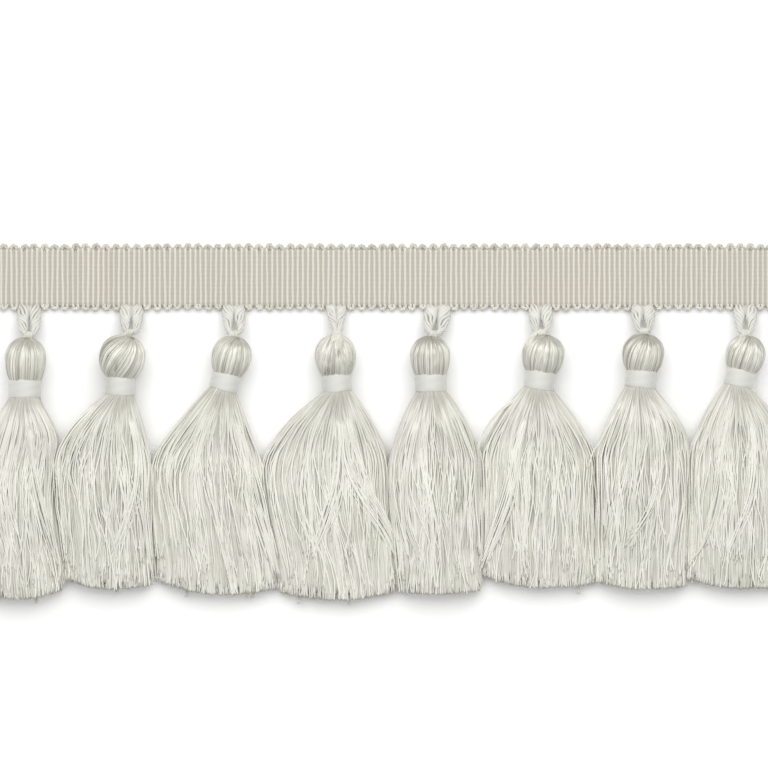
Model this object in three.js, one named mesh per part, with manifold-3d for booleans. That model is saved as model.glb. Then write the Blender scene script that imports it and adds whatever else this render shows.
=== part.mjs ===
// Tassel fringe trim: a ribbed braid with a picot edge, and eight floss tassels that
// hang from it by short twisted loops. It lies face up on a table, in millimetres, +Z up.
// The braid runs along X, the tassels point to -Y, and the origin is on the braid's back,
// at the middle of its length and width.

import * as THREE from "three";
import { mergeVertices } from "three/addons/utils/BufferGeometryUtils.js";
import Module from "manifold-3d";

const wasm = await Module();
wasm.setup();

// Driving dimensions of the braid.
const PICOT_PITCH = 2.56;
const RIBS_PER_PICOT = 2;
const PICOTS_PER_TASSEL = 10;
const TASSEL_COUNT = 8;
const RIB_HALF_LENGTH = 7.35;
const RIB_END_ROUND = 0.35;
const PICOT_REACH = 1.05;
const RIB_CREST = 1.6;
const RIB_VALLEY = 1.05;
const PICOT_THICKNESS = 0.8;
const BRAID_LENGTH = PICOT_PITCH * PICOTS_PER_TASSEL * TASSEL_COUNT;

// Clearance between two pieces that meet.
const GAP = 0.3;

// The hanger loops: three plies of cord, thick in the legs and drawn thin at the turn.
const LOOP_ROOT_X = 1.35;
const LOOP_EYE_X = 1.98;
const LOOP_LEG_RADIUS = 1.05;
const LOOP_TURN_RADIUS = 0.8;
const LOOP_PLY_DEPTH = 0.08;
const LOOP_PLY_TURNS = 2.3;
const LOOP_SIDES = 6;
const LOOP_STEPS = 22;

// The fold of floss that passes through a loop's eye.
const FOLD_WIDTH = 1.2;
const FOLD_THICKNESS = 0.7;
const FOLD_DEPTH = 2.7;
const FOLD_ABOVE_CROWN = 1.4;

// The neck and the band wound round it.
const WRAP_LENGTH = 4.3;
const WRAP_WALL = 0.6;
const COLLAR_LENGTH = 0.9;
const BODY_SIDES = 12;
const BALL_STEPS = 4;
const FLAT_SPOT_DEPTH = 0.15;

// The skirt's locks lie in layers, lowest first, and fan out from the collar.
// spread is the layer's share of the skirt's width, at the collar and where it is widest.
const LAYERS = [
  { locks: 8, rootHeight: -0.66, rootSpread: 0.7, spread: 1.0 },
  { locks: 7, rootHeight: -0.22, rootSpread: 0.9, spread: 0.97 },
  { locks: 6, rootHeight: 0.22, rootSpread: 0.88, spread: 0.86 },
  { locks: 5, rootHeight: 0.66, rootSpread: 0.66, spread: 0.66 },
];
const LOCK_SHARE = 0.84;
const LOCK_STATIONS = [0, 0.14, 0.38, 1];
const BLOOM_END = 0.42;
const SETTLE_END = 0.3;
// A skirt holds the same floss however wide it lies, so a wide one lies lower.
const SKIRT_SECTION = 225;
const SKIRT_HIGHEST = 10.2;
const HEM_HEIGHT_SHARE = 0.62;
const CROWN_DROP = 0.35;
const HEM_UNEVEN = 1.5;

// One row for each tassel, from the left. hangX is the loop, then come the ball's centre,
// top and radius, the wound band's centre and radius, the skirt's sides where it is widest
// and at its cut end, and how far down its left, middle and right reach.
const COLUMNS = [
  "hangX", "headX", "headY", "crownY", "headRadius", "neckX", "neckY", "neckRadius",
  "midLeft", "midRight", "hemLeft", "hemRight", "dropLeft", "dropMiddle", "dropRight",
];
const TASSELS = [
  [-89.5, -90.4, -20.5, -15.0, 5.05, -90.5, -27.9, 4.0, -101.8, -83.7, -101.0, -81.4, -80, -80.8, -78.4],
  [-64.0, -66.2, -19.8, -14.4, 5.7, -66.6, -27.3, 3.75, -83.2, -59.6, -80.9, -59.4, -75.4, -78.4, -77.3],
  [-38.2, -38.8, -19.5, -14.7, 4.85, -40.5, -26.3, 3.6, -59.1, -31.5, -57.2, -27.6, -76.2, -79.8, -78.2],
  [-12.5, -13.0, -19.5, -14.3, 5.0, -12.6, -26.5, 3.7, -31.0, 0.1, -27.1, 2.7, -79, -81.2, -78.8],
  [11.9, 10.7, -19.5, -14.7, 4.9, 10.9, -26.5, 3.95, 0.6, 23.4, 3.2, 23.1, -79, -79.6, -78.6],
  [38.5, 39.0, -19.0, -14.3, 5.2, 38.1, -25.8, 3.85, 23.9, 52.2, 23.6, 51.8, -74.8, -78.1, -77],
  [64.1, 64.0, -18.8, -14.1, 5.1, 63.4, -25.5, 3.9, 52.7, 75.1, 52.4, 74.2, -76.4, -78.4, -77.6],
  [89.6, 89.6, -19.1, -14.5, 4.85, 88.2, -25.3, 3.75, 75.6, 101.6, 74.9, 101, -75.6, -78.2, -77.6],
].map((row) => Object.fromEntries(row.map((value, i) => [COLUMNS[i], value])));

const FINISHES = {
  heading: { color: 0xcfccc0, roughness: 0.75, metalness: 0 },
  loop: { color: 0xdcdcd3, roughness: 0.55, metalness: 0 },
  tassel: { color: 0xdad9cd, roughness: 0.5, metalness: 0 },
  wrap: { color: 0xdbdcd6, roughness: 0.45, metalness: 0 },
};

function materialOf(kind) {
  return new THREE.MeshStandardMaterial({ name: kind, ...FINISHES[kind] });
}

// A closed geometry as a solid that can be joined and cut.
function solidOf(geometry) {
  const bare = geometry.index ? geometry.toNonIndexed() : geometry.clone();
  const points = new THREE.BufferGeometry().setAttribute("position", bare.getAttribute("position"));
  const merged = mergeVertices(points, 1e-4);
  const index = merged.index.array;
  const triangles = [];
  for (let i = 0; i < index.length; i += 3) {
    const [a, b, c] = [index[i], index[i + 1], index[i + 2]];
    if (a !== b && b !== c && c !== a) triangles.push(a, b, c);
  }
  return new wasm.Manifold(
    new wasm.Mesh({
      numProp: 3,
      vertProperties: merged.attributes.position.array,
      triVerts: new Uint32Array(triangles),
    }),
  );
}

function geometryOf(solid) {
  const mesh = solid.getMesh();
  return new THREE.BufferGeometry()
    .setAttribute("position", new THREE.BufferAttribute(new Float32Array(mesh.vertProperties), 3))
    .setIndex(new THREE.BufferAttribute(new Uint32Array(mesh.triVerts), 1));
}

// Everything below the table, taken off whatever rests on it.
function belowTable() {
  const size = 2 * BRAID_LENGTH;
  return solidOf(new THREE.BoxGeometry(size, size, size).translate(0, 0, -size / 2));
}

// Moves each vertex of a geometry to the place that a function of its old place gives.
function reshape(geometry, place) {
  const position = geometry.getAttribute("position");
  const old = new THREE.Vector3();
  for (let i = 0; i < position.count; i++) {
    const moved = place(old.fromBufferAttribute(position, i));
    position.setXYZ(i, moved.x, moved.y, moved.z);
  }
  return geometry;
}

function smooth(t) {
  return THREE.MathUtils.smoothstep(t, 0, 1);
}

function lerp(from, to, share) {
  return from + (to - from) * share;
}

// A repeatable unevenness from -1 to 1 for the numbers given.
function uneven(a, b, c) {
  const wave = Math.sin(a * 12.9898 + b * 78.233 + c * 37.719) * 43758.5453;
  return 2 * (wave - Math.floor(wave)) - 1;
}

// The braid: a grid with a column at each rib's crest and each valley. Its edge rows
// reach out in scallops, one for each picot, but not where a hanger loop leaves it.
function headingGeometry() {
  const columnsPerPicot = 2 * RIBS_PER_PICOT;
  const columns = columnsPerPicot * PICOTS_PER_TASSEL * TASSEL_COUNT;
  const bowl = [0, 0.82, 1, 0.82];
  const box = new THREE.BoxGeometry(BRAID_LENGTH, 1, 1, columns, 3, 1);
  const reached = reshape(box, ({ x, y, z }) => {
    const column = Math.round((x / BRAID_LENGTH + 0.5) * columns);
    const side = Math.sign(y);
    const atEdge = Math.abs(y) > 0.4;
    const picot = Math.floor(column / columnsPerPicot) % PICOTS_PER_TASSEL;
    const half = PICOTS_PER_TASSEL / 2;
    const atLoop = side < 0 && (picot === half - 1 || picot === half);
    const scallop = atLoop ? 0 : bowl[column % columnsPerPicot];
    const crest = column % 2 === 1;
    const top = atEdge ? PICOT_THICKNESS : crest ? RIB_CREST : RIB_VALLEY;
    return {
      x,
      y: side * (atEdge ? RIB_HALF_LENGTH + scallop * PICOT_REACH : RIB_HALF_LENGTH - RIB_END_ROUND),
      z: z > 0 ? top : -GAP,
    };
  });
  return geometryOf(solidOf(reached).subtract(belowTable()));
}

// Where the ball's centre line lies above the table, with its small flat spot below.
function axisHeight(row) {
  return row.headRadius - FLAT_SPOT_DEPTH;
}

// The hanger loop: down one leg, round the turn below the eye, and up the other leg.
// It leaves the braid at its own place in the repeat and leans to where the tassel lies.
function loopGeometry(row, tasselIndex) {
  const rootX = PICOT_PITCH * PICOTS_PER_TASSEL * (tasselIndex - (TASSEL_COUNT - 1) / 2);
  const top = -RIB_HALF_LENGTH - GAP;
  const turnY = row.crownY + FOLD_ABOVE_CROWN;
  const rootZ = LOOP_LEG_RADIUS * (1 + LOOP_PLY_DEPTH) + 0.05;
  const rise = (y) => lerp(rootZ, axisHeight(row), (top - y) / (top - turnY));
  const stations = [
    [LOOP_ROOT_X, top],
    [LOOP_ROOT_X + 0.15, lerp(top, turnY, 0.3)],
    [LOOP_EYE_X, turnY + 1.9],
    [LOOP_EYE_X, turnY + 1.1],
    [1.2, turnY + 0.25],
  ];
  const middle = (y) => lerp(rootX, row.hangX, smooth((top - y) / (top - turnY)));
  const right = stations.map(([x, y]) => new THREE.Vector3(middle(y) + x, y, rise(y)));
  const left = stations.map(([x, y]) => new THREE.Vector3(middle(y) - x, y, rise(y)));
  const turn = new THREE.Vector3(row.hangX, turnY, rise(turnY));
  const path = new THREE.CatmullRomCurve3([...right, turn, ...left.reverse()]);
  const frames = path.computeFrenetFrames(LOOP_STEPS, false);
  const tube = new THREE.CylinderGeometry(1, 1, 1, LOOP_SIDES, LOOP_STEPS);
  return reshape(tube, ({ x, y, z }) => {
    const along = y + 0.5;
    const step = Math.round(along * LOOP_STEPS);
    const angle = Math.atan2(x, z);
    const lobe = Math.hypot(x, z) * (1 + LOOP_PLY_DEPTH * Math.cos(3 * angle));
    const turned = angle + 2 * Math.PI * LOOP_PLY_TURNS * along;
    const legs = Math.abs(2 * along - 1);
    const radius = lobe * lerp(LOOP_TURN_RADIUS, LOOP_LEG_RADIUS, smooth(legs * 1.6 - 0.3));
    // The two end rings stand straight on the braid's edge, whichever way the curve leans.
    const atRoot = step === 0 || step === LOOP_STEPS;
    const normal = atRoot ? new THREE.Vector3(0, 0, 1) : frames.normals[step];
    const across = atRoot
      ? new THREE.Vector3(step === 0 ? 1 : -1, 0, 0)
      : new THREE.Vector3().crossVectors(normal, frames.tangents[step]);
    return path
      .getPointAt(along)
      .addScaledVector(normal, radius * Math.sin(turned))
      .addScaledVector(across, radius * Math.cos(turned));
  });
}

// Where a tassel leans: the line from its ball's centre to its band's centre.
function axisOf(row) {
  const down = new THREE.Vector3(row.neckX - row.headX, row.neckY - row.headY, 0);
  const toNeck = down.length();
  down.normalize();
  return { down, toNeck, turn: Math.atan2(down.x, -down.y) };
}

// The ball, the waist under the band and the collar that carries the skirt, as one
// turned profile. Its Y runs up the tassel from the ball's centre.
function bodySolid(row) {
  const { toNeck, turn } = axisOf(row);
  const bandTop = toNeck - WRAP_LENGTH / 2;
  const collarTop = toNeck + WRAP_LENGTH / 2 + GAP;
  const ballFoot = bandTop - GAP;
  const rim = row.neckRadius - 0.1;
  const waist = row.neckRadius - WRAP_WALL - GAP;
  const crown = row.crownY - row.headY;
  const lower = ballFoot / Math.sqrt(1 - (rim / row.headRadius) ** 2);
  const footAngle = Math.asin(rim / row.headRadius);
  const profile = [new THREE.Vector2(0, -collarTop - COLLAR_LENGTH)];
  profile.push(new THREE.Vector2(rim, -collarTop - COLLAR_LENGTH));
  profile.push(new THREE.Vector2(rim, -collarTop));
  profile.push(new THREE.Vector2(waist, -collarTop));
  profile.push(new THREE.Vector2(waist, -ballFoot));
  for (let i = 0; i < BALL_STEPS; i++) {
    const angle = lerp(footAngle, Math.PI / 2, i / BALL_STEPS);
    profile.push(new THREE.Vector2(row.headRadius * Math.sin(angle), -lower * Math.cos(angle)));
  }
  for (let i = 0; i <= BALL_STEPS; i++) {
    const angle = lerp(Math.PI / 2, 0, i / BALL_STEPS);
    const radius = i < BALL_STEPS ? row.headRadius * Math.sin(angle) : 0;
    profile.push(new THREE.Vector2(radius, crown * Math.cos(angle)));
  }
  const turned = new THREE.LatheGeometry(profile, BODY_SIDES);
  turned.rotateZ(turn).translate(row.headX, row.headY, axisHeight(row));
  return solidOf(turned).subtract(belowTable());
}

// The floss where the hank is folded over the hanger loop: a narrow arch whose two ends
// run into the crown of the ball.
function foldSolid(row) {
  const inner = LOOP_TURN_RADIUS * (1 + LOOP_PLY_DEPTH) + GAP;
  const outer = inner + FOLD_THICKNESS;
  const arch = new THREE.Shape();
  arch.moveTo(-FOLD_DEPTH, -outer);
  arch.lineTo(0, -outer);
  arch.absarc(0, 0, outer, -Math.PI / 2, Math.PI / 2, false);
  arch.lineTo(-FOLD_DEPTH, outer);
  arch.lineTo(-FOLD_DEPTH, inner);
  arch.lineTo(0, inner);
  arch.absarc(0, 0, inner, Math.PI / 2, -Math.PI / 2, true);
  arch.lineTo(-FOLD_DEPTH, -inner);
  const band = new THREE.ExtrudeGeometry(arch, {
    depth: FOLD_WIDTH,
    bevelEnabled: false,
    curveSegments: 5,
  });
  // The shape's X becomes Y, its Y becomes Z, and its depth runs along X.
  band.translate(0, 0, -FOLD_WIDTH / 2);
  band.applyMatrix4(
    new THREE.Matrix4().makeBasis(
      new THREE.Vector3(0, 1, 0),
      new THREE.Vector3(0, 0, 1),
      new THREE.Vector3(1, 0, 0),
    ),
  );
  band.translate(row.hangX, row.crownY + FOLD_ABOVE_CROWN, axisHeight(row));
  return solidOf(band);
}

// One side of the skirt at a share of its length: it blooms out of the collar, is widest
// at BLOOM_END and then runs straight to the cut end.
function sideAt(t, neck, widest, hem) {
  if (t < BLOOM_END) return lerp(neck, widest, 1 - (1 - t / BLOOM_END) ** 2);
  return lerp(widest, hem, smooth((t - BLOOM_END) / (1 - BLOOM_END)));
}

// The cut end's reach at a place across the skirt, from -1 at its left to 1 at its right.
function dropAt(row, across) {
  const edge = across < 0 ? row.dropLeft : row.dropRight;
  return lerp(row.dropMiddle, edge, Math.abs(across) ** 1.6);
}

// One lock: a three-sided strand, flat side down, from inside the collar to the cut end.
function lockSolid(row, tasselIndex, layerIndex, lockIndex) {
  const layer = LAYERS[layerIndex];
  const { down, toNeck, turn } = axisOf(row);
  const rim = row.neckRadius - 0.1;
  const rootDown = toNeck + WRAP_LENGTH / 2 + GAP + COLLAR_LENGTH / 2;
  const root = new THREE.Vector2(row.headX, row.headY).addScaledVector(down, rootDown);
  const u = (2 * lockIndex + 1) / layer.locks - 1;
  const fullHeight = Math.min(SKIRT_HIGHEST, SKIRT_SECTION / (row.midRight - row.midLeft));
  const rootY = root.y + u * rim * layer.rootSpread * Math.sin(turn);
  const hemY = dropAt(row, u * layer.spread) + HEM_UNEVEN * uneven(tasselIndex, layerIndex, lockIndex) / 2;
  const steps = LOCK_STATIONS.length - 1;
  const strand = new THREE.CylinderGeometry(1, 1, 1, 3, steps);
  return solidOf(
    reshape(strand, ({ x, y, z }) => {
      const t = LOCK_STATIONS[Math.round((y + 0.5) * steps)];
      const left = sideAt(t, root.x - rim, row.midLeft, row.hemLeft);
      const right = sideAt(t, root.x + rim, row.midRight, row.hemRight);
      const spread = lerp(layer.rootSpread, layer.spread, smooth(t / BLOOM_END));
      const half = ((right - left) / 2) * spread;
      const place = u * spread;
      const heightShare = lerp(1, HEM_HEIGHT_SHARE, smooth((t - BLOOM_END) / (1 - BLOOM_END)));
      const layerHeight = (fullHeight * heightShare * (1 - CROWN_DROP * place ** 2)) / LAYERS.length;
      const settled = smooth(t / SETTLE_END);
      const rootLayer = (2 * rim) / (LAYERS.length + 1);
      const rootZ = axisHeight(row) + layer.rootHeight * rim - rootLayer / 2;
      const base = lerp(rootZ, layerIndex * layerHeight, settled);
      const height = LOCK_SHARE * lerp(rootLayer, layerHeight, settled);
      const width = (LOCK_SHARE * 2 * half) / layer.locks;
      return {
        x: (left + right) / 2 + u * half - (x * width) / Math.sqrt(3),
        y: lerp(rootY, hemY, t),
        z: base + ((z + 0.5) / 1.5) * height,
      };
    }),
  );
}

// A tassel: ball, waist, collar and fold, with every lock fused to the collar at its root.
function tasselGeometry(row, tasselIndex) {
  let whole = bodySolid(row).add(foldSolid(row));
  LAYERS.forEach((layer, layerIndex) => {
    for (let lockIndex = 0; lockIndex < layer.locks; lockIndex++) {
      whole = whole.add(lockSolid(row, tasselIndex, layerIndex, lockIndex));
    }
  });
  return geometryOf(whole);
}

// The band wound round the waist, a short tube about its own Y.
function wrapGeometry(row) {
  const inner = row.neckRadius - WRAP_WALL;
  const half = WRAP_LENGTH / 2;
  const section = [
    new THREE.Vector2(inner, -half),
    new THREE.Vector2(row.neckRadius, -half),
    new THREE.Vector2(row.neckRadius, half),
    new THREE.Vector2(inner, half),
    new THREE.Vector2(inner, -half),
  ];
  return new THREE.LatheGeometry(section, BODY_SIDES);
}

function meshOf(name, kind, geometry) {
  const mesh = new THREE.Mesh(geometry, materialOf(kind));
  mesh.name = name;
  return mesh;
}

const trim = new THREE.Group();
trim.add(meshOf("heading", "heading", headingGeometry()));
TASSELS.forEach((row, tasselIndex) => {
  const number = tasselIndex + 1;
  trim.add(meshOf("loop_" + number, "loop", loopGeometry(row, tasselIndex)));
  trim.add(meshOf("tassel_" + number, "tassel", tasselGeometry(row, tasselIndex)));
  const wrap = meshOf("wrap_" + number, "wrap", wrapGeometry(row));
  wrap.position.set(row.neckX, row.neckY, axisHeight(row));
  wrap.rotation.z = axisOf(row).turn;
  trim.add(wrap);
});

export default trim;
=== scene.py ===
"""Tassel fringe trim: a ribbed braid with a picot edge, and floss tassels hung from it.

The piece lies face up on a table. Lengths in this file are millimetres unless a
property says otherwise, and they become metres where a mesh is made.
"""

import math

import bpy
import numpy as np
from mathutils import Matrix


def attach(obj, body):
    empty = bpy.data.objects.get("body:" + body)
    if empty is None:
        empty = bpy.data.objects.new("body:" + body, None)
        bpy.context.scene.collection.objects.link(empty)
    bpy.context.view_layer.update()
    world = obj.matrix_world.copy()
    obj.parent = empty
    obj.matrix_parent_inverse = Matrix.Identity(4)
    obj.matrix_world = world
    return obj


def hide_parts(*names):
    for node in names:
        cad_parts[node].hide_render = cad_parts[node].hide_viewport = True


bl_info = {
    "name": "Tassel Fringe Trim",
    "version": (1, 0, 0),
    "blender": (4, 5, 0),
    "location": "3D View > Sidebar > Fringe",
    "description": "Builds a ribbed braid heading with floss tassels hung from it",
    "category": "Add Mesh",
}

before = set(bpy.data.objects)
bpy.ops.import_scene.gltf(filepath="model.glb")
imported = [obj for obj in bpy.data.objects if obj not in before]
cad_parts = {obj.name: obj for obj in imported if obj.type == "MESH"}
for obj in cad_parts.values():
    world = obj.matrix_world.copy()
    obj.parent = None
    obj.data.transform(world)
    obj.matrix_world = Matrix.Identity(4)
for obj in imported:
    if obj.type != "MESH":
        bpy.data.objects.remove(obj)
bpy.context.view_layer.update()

MM = 0.001
FULL_TURN = 2 * np.pi
UP = np.array([0.0, 0.0, 1.0])

# Where the random wander of each kind of piece starts. The floss has its own setting.
BRAID_SEED = 11
PICOT_SEED = 12
LOOP_SEED = 40
BAND_SEED = 70

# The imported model's own counts, and its sizes in mm. A tassel rests on a flat spot of its ball.
PICOTS_PER_TASSEL = 10
TASSEL_COUNT = 8
BAND_LENGTH = 4.3
FLAT_SPOT_DEPTH = 0.15

# How far above a tassel's crown its loop turns, in mm.
FOLD_ABOVE_CROWN = 0.4

# The loops from the left: the slim one, how wide each is laid, and how open its eye is.
SLIM_LOOP = 3
LOOP_SPREADS = (0.96, 0.94, 0.94, 1.0, 1.07, 0.98, 0.96, 0.94)
LOOP_EYES = (0.1, 0.3, 0.8, 0.0, 0.4, 0.7, 1.0, 0.9)

# A thread of floss is drawn with four sides, and threads lie in bundles of five on a ball.
FLOSS_SIDES = 4
BUNDLE = 5

# A skirt: the share of its length where it is widest, its width times its thickness there in
# square mm, its greatest thickness in mm, and the share of the thickness left at the hem.
BLOOM_END = 0.42
SKIRT_SECTION = 225
SKIRT_HIGHEST = 10.2
HEM_HEIGHT_SHARE = 0.54

# The share of the thickness above a skirt's middle, the share of its length after which it is
# no longer round, the power of its squarish section, and how far its threads start inside the
# band's rim and above the band's lower edge, in mm.
TOP_SHARE = 0.62
ROUND_UNTIL = 0.22
SECTION_POWER = 2.5
RIM_INSET = 0.42
LIP_COVERED = 0.1

# A direction that no thread of a skirt runs along.
ACROSS_SKIRT = (0.05, 0.12, 1.0)

# One row for each tassel, from the left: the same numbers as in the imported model.
COLUMNS = (
    "hang_x", "head_x", "head_y", "crown_y", "head_radius", "neck_x", "neck_y", "neck_radius",
    "mid_left", "mid_right", "hem_left", "hem_right", "drop_left", "drop_middle", "drop_right",
)
ROWS = (
    (-89.5, -90.4, -20.5, -15.0, 5.05, -90.5, -27.9, 4.0,
     -101.8, -83.7, -101.0, -81.4, -80, -80.8, -78.4),
    (-64.0, -66.2, -19.8, -14.4, 5.7, -66.6, -27.3, 3.75,
     -83.2, -59.6, -80.9, -59.4, -75.4, -78.4, -77.3),
    (-38.2, -38.8, -19.5, -14.7, 4.85, -40.5, -26.3, 3.6,
     -59.1, -31.5, -57.2, -27.6, -76.2, -79.8, -78.2),
    (-12.5, -13.0, -19.5, -14.3, 5.0, -12.6, -26.5, 3.7,
     -31.0, 0.1, -27.1, 2.7, -79, -81.2, -78.8),
    (11.9, 10.7, -19.5, -14.7, 4.9, 10.9, -26.5, 3.95,
     0.6, 23.4, 3.2, 23.1, -79, -79.6, -78.6),
    (38.5, 39.0, -19.0, -14.3, 5.2, 38.1, -25.8, 3.85,
     23.9, 52.2, 23.6, 51.8, -74.8, -78.1, -77),
    (64.1, 64.0, -18.8, -14.1, 5.1, 63.4, -25.5, 3.9,
     52.7, 75.1, 52.4, 74.2, -76.4, -78.4, -77.6),
    (89.6, 89.6, -19.1, -14.5, 4.85, 88.2, -25.3, 3.75,
     75.6, 101.6, 74.9, 101, -75.6, -78.2, -77.6),
)

# How each skirt opens below the neck: the powers of its left and right side, and how far
# its right shoulder stands out, in mm.
BLOOMS = (
    (2, 2, 2.3), (2, 2, 0), (1.5, 1.25, 0), (2, 2, 0),
    (2, 2, 0), (2, 1.7, 0), (2, 2, 1.2), (2, 2, 0),
)
TASSELS = [dict(zip(COLUMNS, row), bloom=bloom) for row, bloom in zip(ROWS, BLOOMS)]

# How the floss is drawn over each ball: the direction of its gathering point from the
# ball's centre (right, up the tassel, towards the viewer), its swirl in radians, and how
# much painted shade lies on the crown.
GATHERS = (
    (0.05, 0.97, 0.24, 0.0, 0.8),
    (0.42, 0.86, 0.28, 0.30, 0.6),
    (0.06, 0.95, 0.30, -0.08, 0.8),
    (0.00, 0.96, 0.30, 0.25, 0.25),
    (0.00, 0.97, 0.24, 0.05, 1.0),
    (0.10, 0.96, 0.26, -0.10, 0.8),
    (0.12, 0.93, 0.35, 0.16, 0.9),
    (0.04, 0.95, 0.30, 0.12, 0.8),
)

# Hollows between two bundles of a ball's threads, sunk and also darkened by painted shade:
# the tassel, the centre, and the half width and half length, in the plan, and the depth as a
# share of the ball.
HOLLOWS = (
    (3, -12.1, -19.2, 0.4, 1.1, 0.16),
    (3, -11.1, -17.2, 0.3, 1.5, 0.04),
    (6, 66.0, -16.6, 1.0, 0.9, 0.02),
    (1, -67.6, -22.6, 0.3, 1.6, 0.04),
)

# A second layer of threads gathered on the front of a ball: the tassel, the gathering point
# in the plan, how far round the neck it reaches each way, the number of threads, the swirl.
FANS = ((3, -13.0, -16.0, 2.1, 78, 0.12),)

# Stems of floss that run from the loop down over the front of a ball: the tassel, the points
# the stem passes in the plan, how many threads, and its half width at the top and the tip.
STEMS = (
    (3, ((-12.6, -13.7), (-12.7, -14.6), (-12.9, -15.6), (-13.1, -16.9)), 16, 1.0, 1.0),
    (5, ((37.6, -13.4), (36.6, -14.6), (35.2, -16.6), (34.5, -19.6)), 8, 0.5, 0.5),
    (7, ((89.2, -13.7), (88.6, -15.2), (87.7, -17.2), (87.2, -19.4)), 6, 0.5, 0.8),
)

# Bunches of floss that cross the others: the tassel, the points it passes in the plan from
# the neck to the tip, how many threads, and the half width of the bunch and of its tip.
SWEEPS = (
    (2, ((-39.3, -29.5), (-36.6, -40), (-33.6, -51), (-30.3, -64), (-27.0, -77.4)), 15, 1.7, 1.2),
    (3, ((-11.8, -29.5), (-11.0, -38), (-9.2, -48.3), (-1.2, -62.6), (4.6, -73.9)), 13, 1.8, 1.1),
    (3, ((-11.2, -29.5), (-8.6, -41), (-4.4, -53), (-0.4, -61), (2.6, -68)), 7, 1.0, 0.5),
    (3, ((-12.9, -29.5), (-11.9, -43), (-12.8, -54), (-16.0, -63.5), (-20.0, -71.4)), 12, 1.6, 0.5),
    (1, ((-65.6, -29.5), (-62.6, -42), (-62.8, -53), (-66.2, -64), (-70.6, -73.2)), 10, 1.3, 0.5),
    (1, ((-64.6, -29.5), (-61.4, -44), (-60.6, -58), (-59.4, -70), (-57.9, -77.8)), 5, 0.6, 0.2),
    (0, ((-89.5, -31.5), (-88.6, -43), (-87.1, -54.2), (-84.4, -65), (-81.2, -75)), 9, 1.3, 0.6),
    (4, ((9.6, -29.5), (5.6, -43), (4.4, -56), (6.4, -66), (11.6, -76.2)), 8, 1.0, 0.6),
    (5, ((36.6, -29), (32.6, -42), (30.0, -55.5), (26.4, -66), (22.5, -75.4)), 14, 1.6, 0.8),
    (6, ((65.0, -29), (67.6, -42), (67.0, -54), (63.4, -62), (57.8, -69.4)), 5, 0.9, 0.7),
    (7, ((87.0, -29), (83.6, -42), (81.8, -56), (79.0, -66.4), (73.9, -74.2)), 8, 1.0, 0.4),
    (7, ((89.6, -29), (91.6, -42), (90.8, -54), (87.4, -64), (83.4, -74)), 7, 1.0, 0.5),
    (5, ((36.2, -28.4), (33.4, -29.9), (29.2, -32.6), (25.2, -37.0), (22.7, -42.5), (22.4, -50)),
     2, 0.2, 0.1),
    (6, ((60.8, -28), (57.2, -34), (53.6, -40.5), (51.1, -44.6), (50.4, -50)), 1, 0.1, 0.1),
    (1, ((-69.6, -29.6), (-74.2, -33.6), (-78.6, -38.2), (-81.6, -44), (-82.6, -52)), 3, 0.8, 0.5),
)

# Single thread ends that stick out of the cut hems: the tassel and the tip in the plan.
STRAYS = (
    (0, -87.9, -81.6), (1, -80.4, -75.9), (1, -67.7, -78.9), (2, -50.2, -80.0),
    (2, -35.2, -80.2), (2, -33.7, -80.3), (3, -22.2, -81.7), (3, -9.7, -81.9),
    (4, 22.6, -78.6), (5, 47.9, -79.3), (7, 76.2, -76.6),
)


def linear(hex_colour):
    """sRGB hex to linear RGBA. A channel c becomes c / 12.92 up to 0.04045, and above that
    ((c + 0.055) / 1.055) to the power 2.4."""
    channels = [int(hex_colour[i : i + 2], 16) / 255 for i in (0, 2, 4)]
    return [c / 12.92 if c <= 0.04045 else ((c + 0.055) / 1.055) ** 2.4 for c in channels] + [1.0]


def smooth(t):
    """The cubic that eases from 0 to 1 as t does: 3 t squared less 2 t cubed."""
    t = np.clip(t, 0, 1)
    return t * t * (3 - 2 * t)


def mix(low, high, share):
    """The value at a share of the way from low to high: low + (high - low) x share."""
    return low + (high - low) * share


# Sizes and colours that a user would change.

# What every colour's setting says.
COLOUR = dict(subtype="COLOR", size=4, min=0, max=1)


class BraidSettings(bpy.types.PropertyGroup):
    picot_pitch: bpy.props.FloatProperty(
        name="Picot pitch", description="Length of braid for one picot",
        default=0.00256, unit="LENGTH",
    )
    half_width: bpy.props.FloatProperty(
        name="Half width", description="From the braid's middle to the ends of its ribs",
        default=0.00735, unit="LENGTH",
    )
    rib_height: bpy.props.FloatProperty(
        name="Rib height", description="From the braid's back to a rib's crest",
        default=0.0016, unit="LENGTH",
    )
    valley_height: bpy.props.FloatProperty(
        name="Valley height", description="From the braid's back to the valley between two ribs",
        default=0.00105, unit="LENGTH",
    )
    picot_reach: bpy.props.FloatProperty(
        name="Picot reach", description="How far a picot stands out past the ribs' ends",
        default=0.00105, unit="LENGTH",
    )
    # Painted highlight: the colour along each rib's crest.
    crest_painted_highlight_colour: bpy.props.FloatVectorProperty(
        name="Crest colour", description="The bright cord along each rib",
        default=linear("DDDAD3"), **COLOUR,
    )
    # Painted shade: the colour in the valleys between the ribs.
    valley_painted_shade_colour: bpy.props.FloatVectorProperty(
        name="Valley colour", description="The duller cord between two ribs",
        default=linear("B9B4A9"), **COLOUR,
    )


class LoopSettings(bpy.types.PropertyGroup):
    leg_radius: bpy.props.FloatProperty(
        name="Leg radius", description="Radius of the twisted cord in a loop's legs",
        default=0.00105, unit="LENGTH",
    )
    turn_radius: bpy.props.FloatProperty(
        name="Turn radius",
        description="Radius of the cord where it turns inside the fold of floss",
        default=0.0008, unit="LENGTH",
    )
    twists: bpy.props.FloatProperty(
        name="Twists", description="Turns of the plies along one loop", default=2.2, min=0
    )
    colour: bpy.props.FloatVectorProperty(
        name="Cord colour", description="The twisted cord",
        default=linear("D8D8D1"), **COLOUR,
    )


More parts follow.
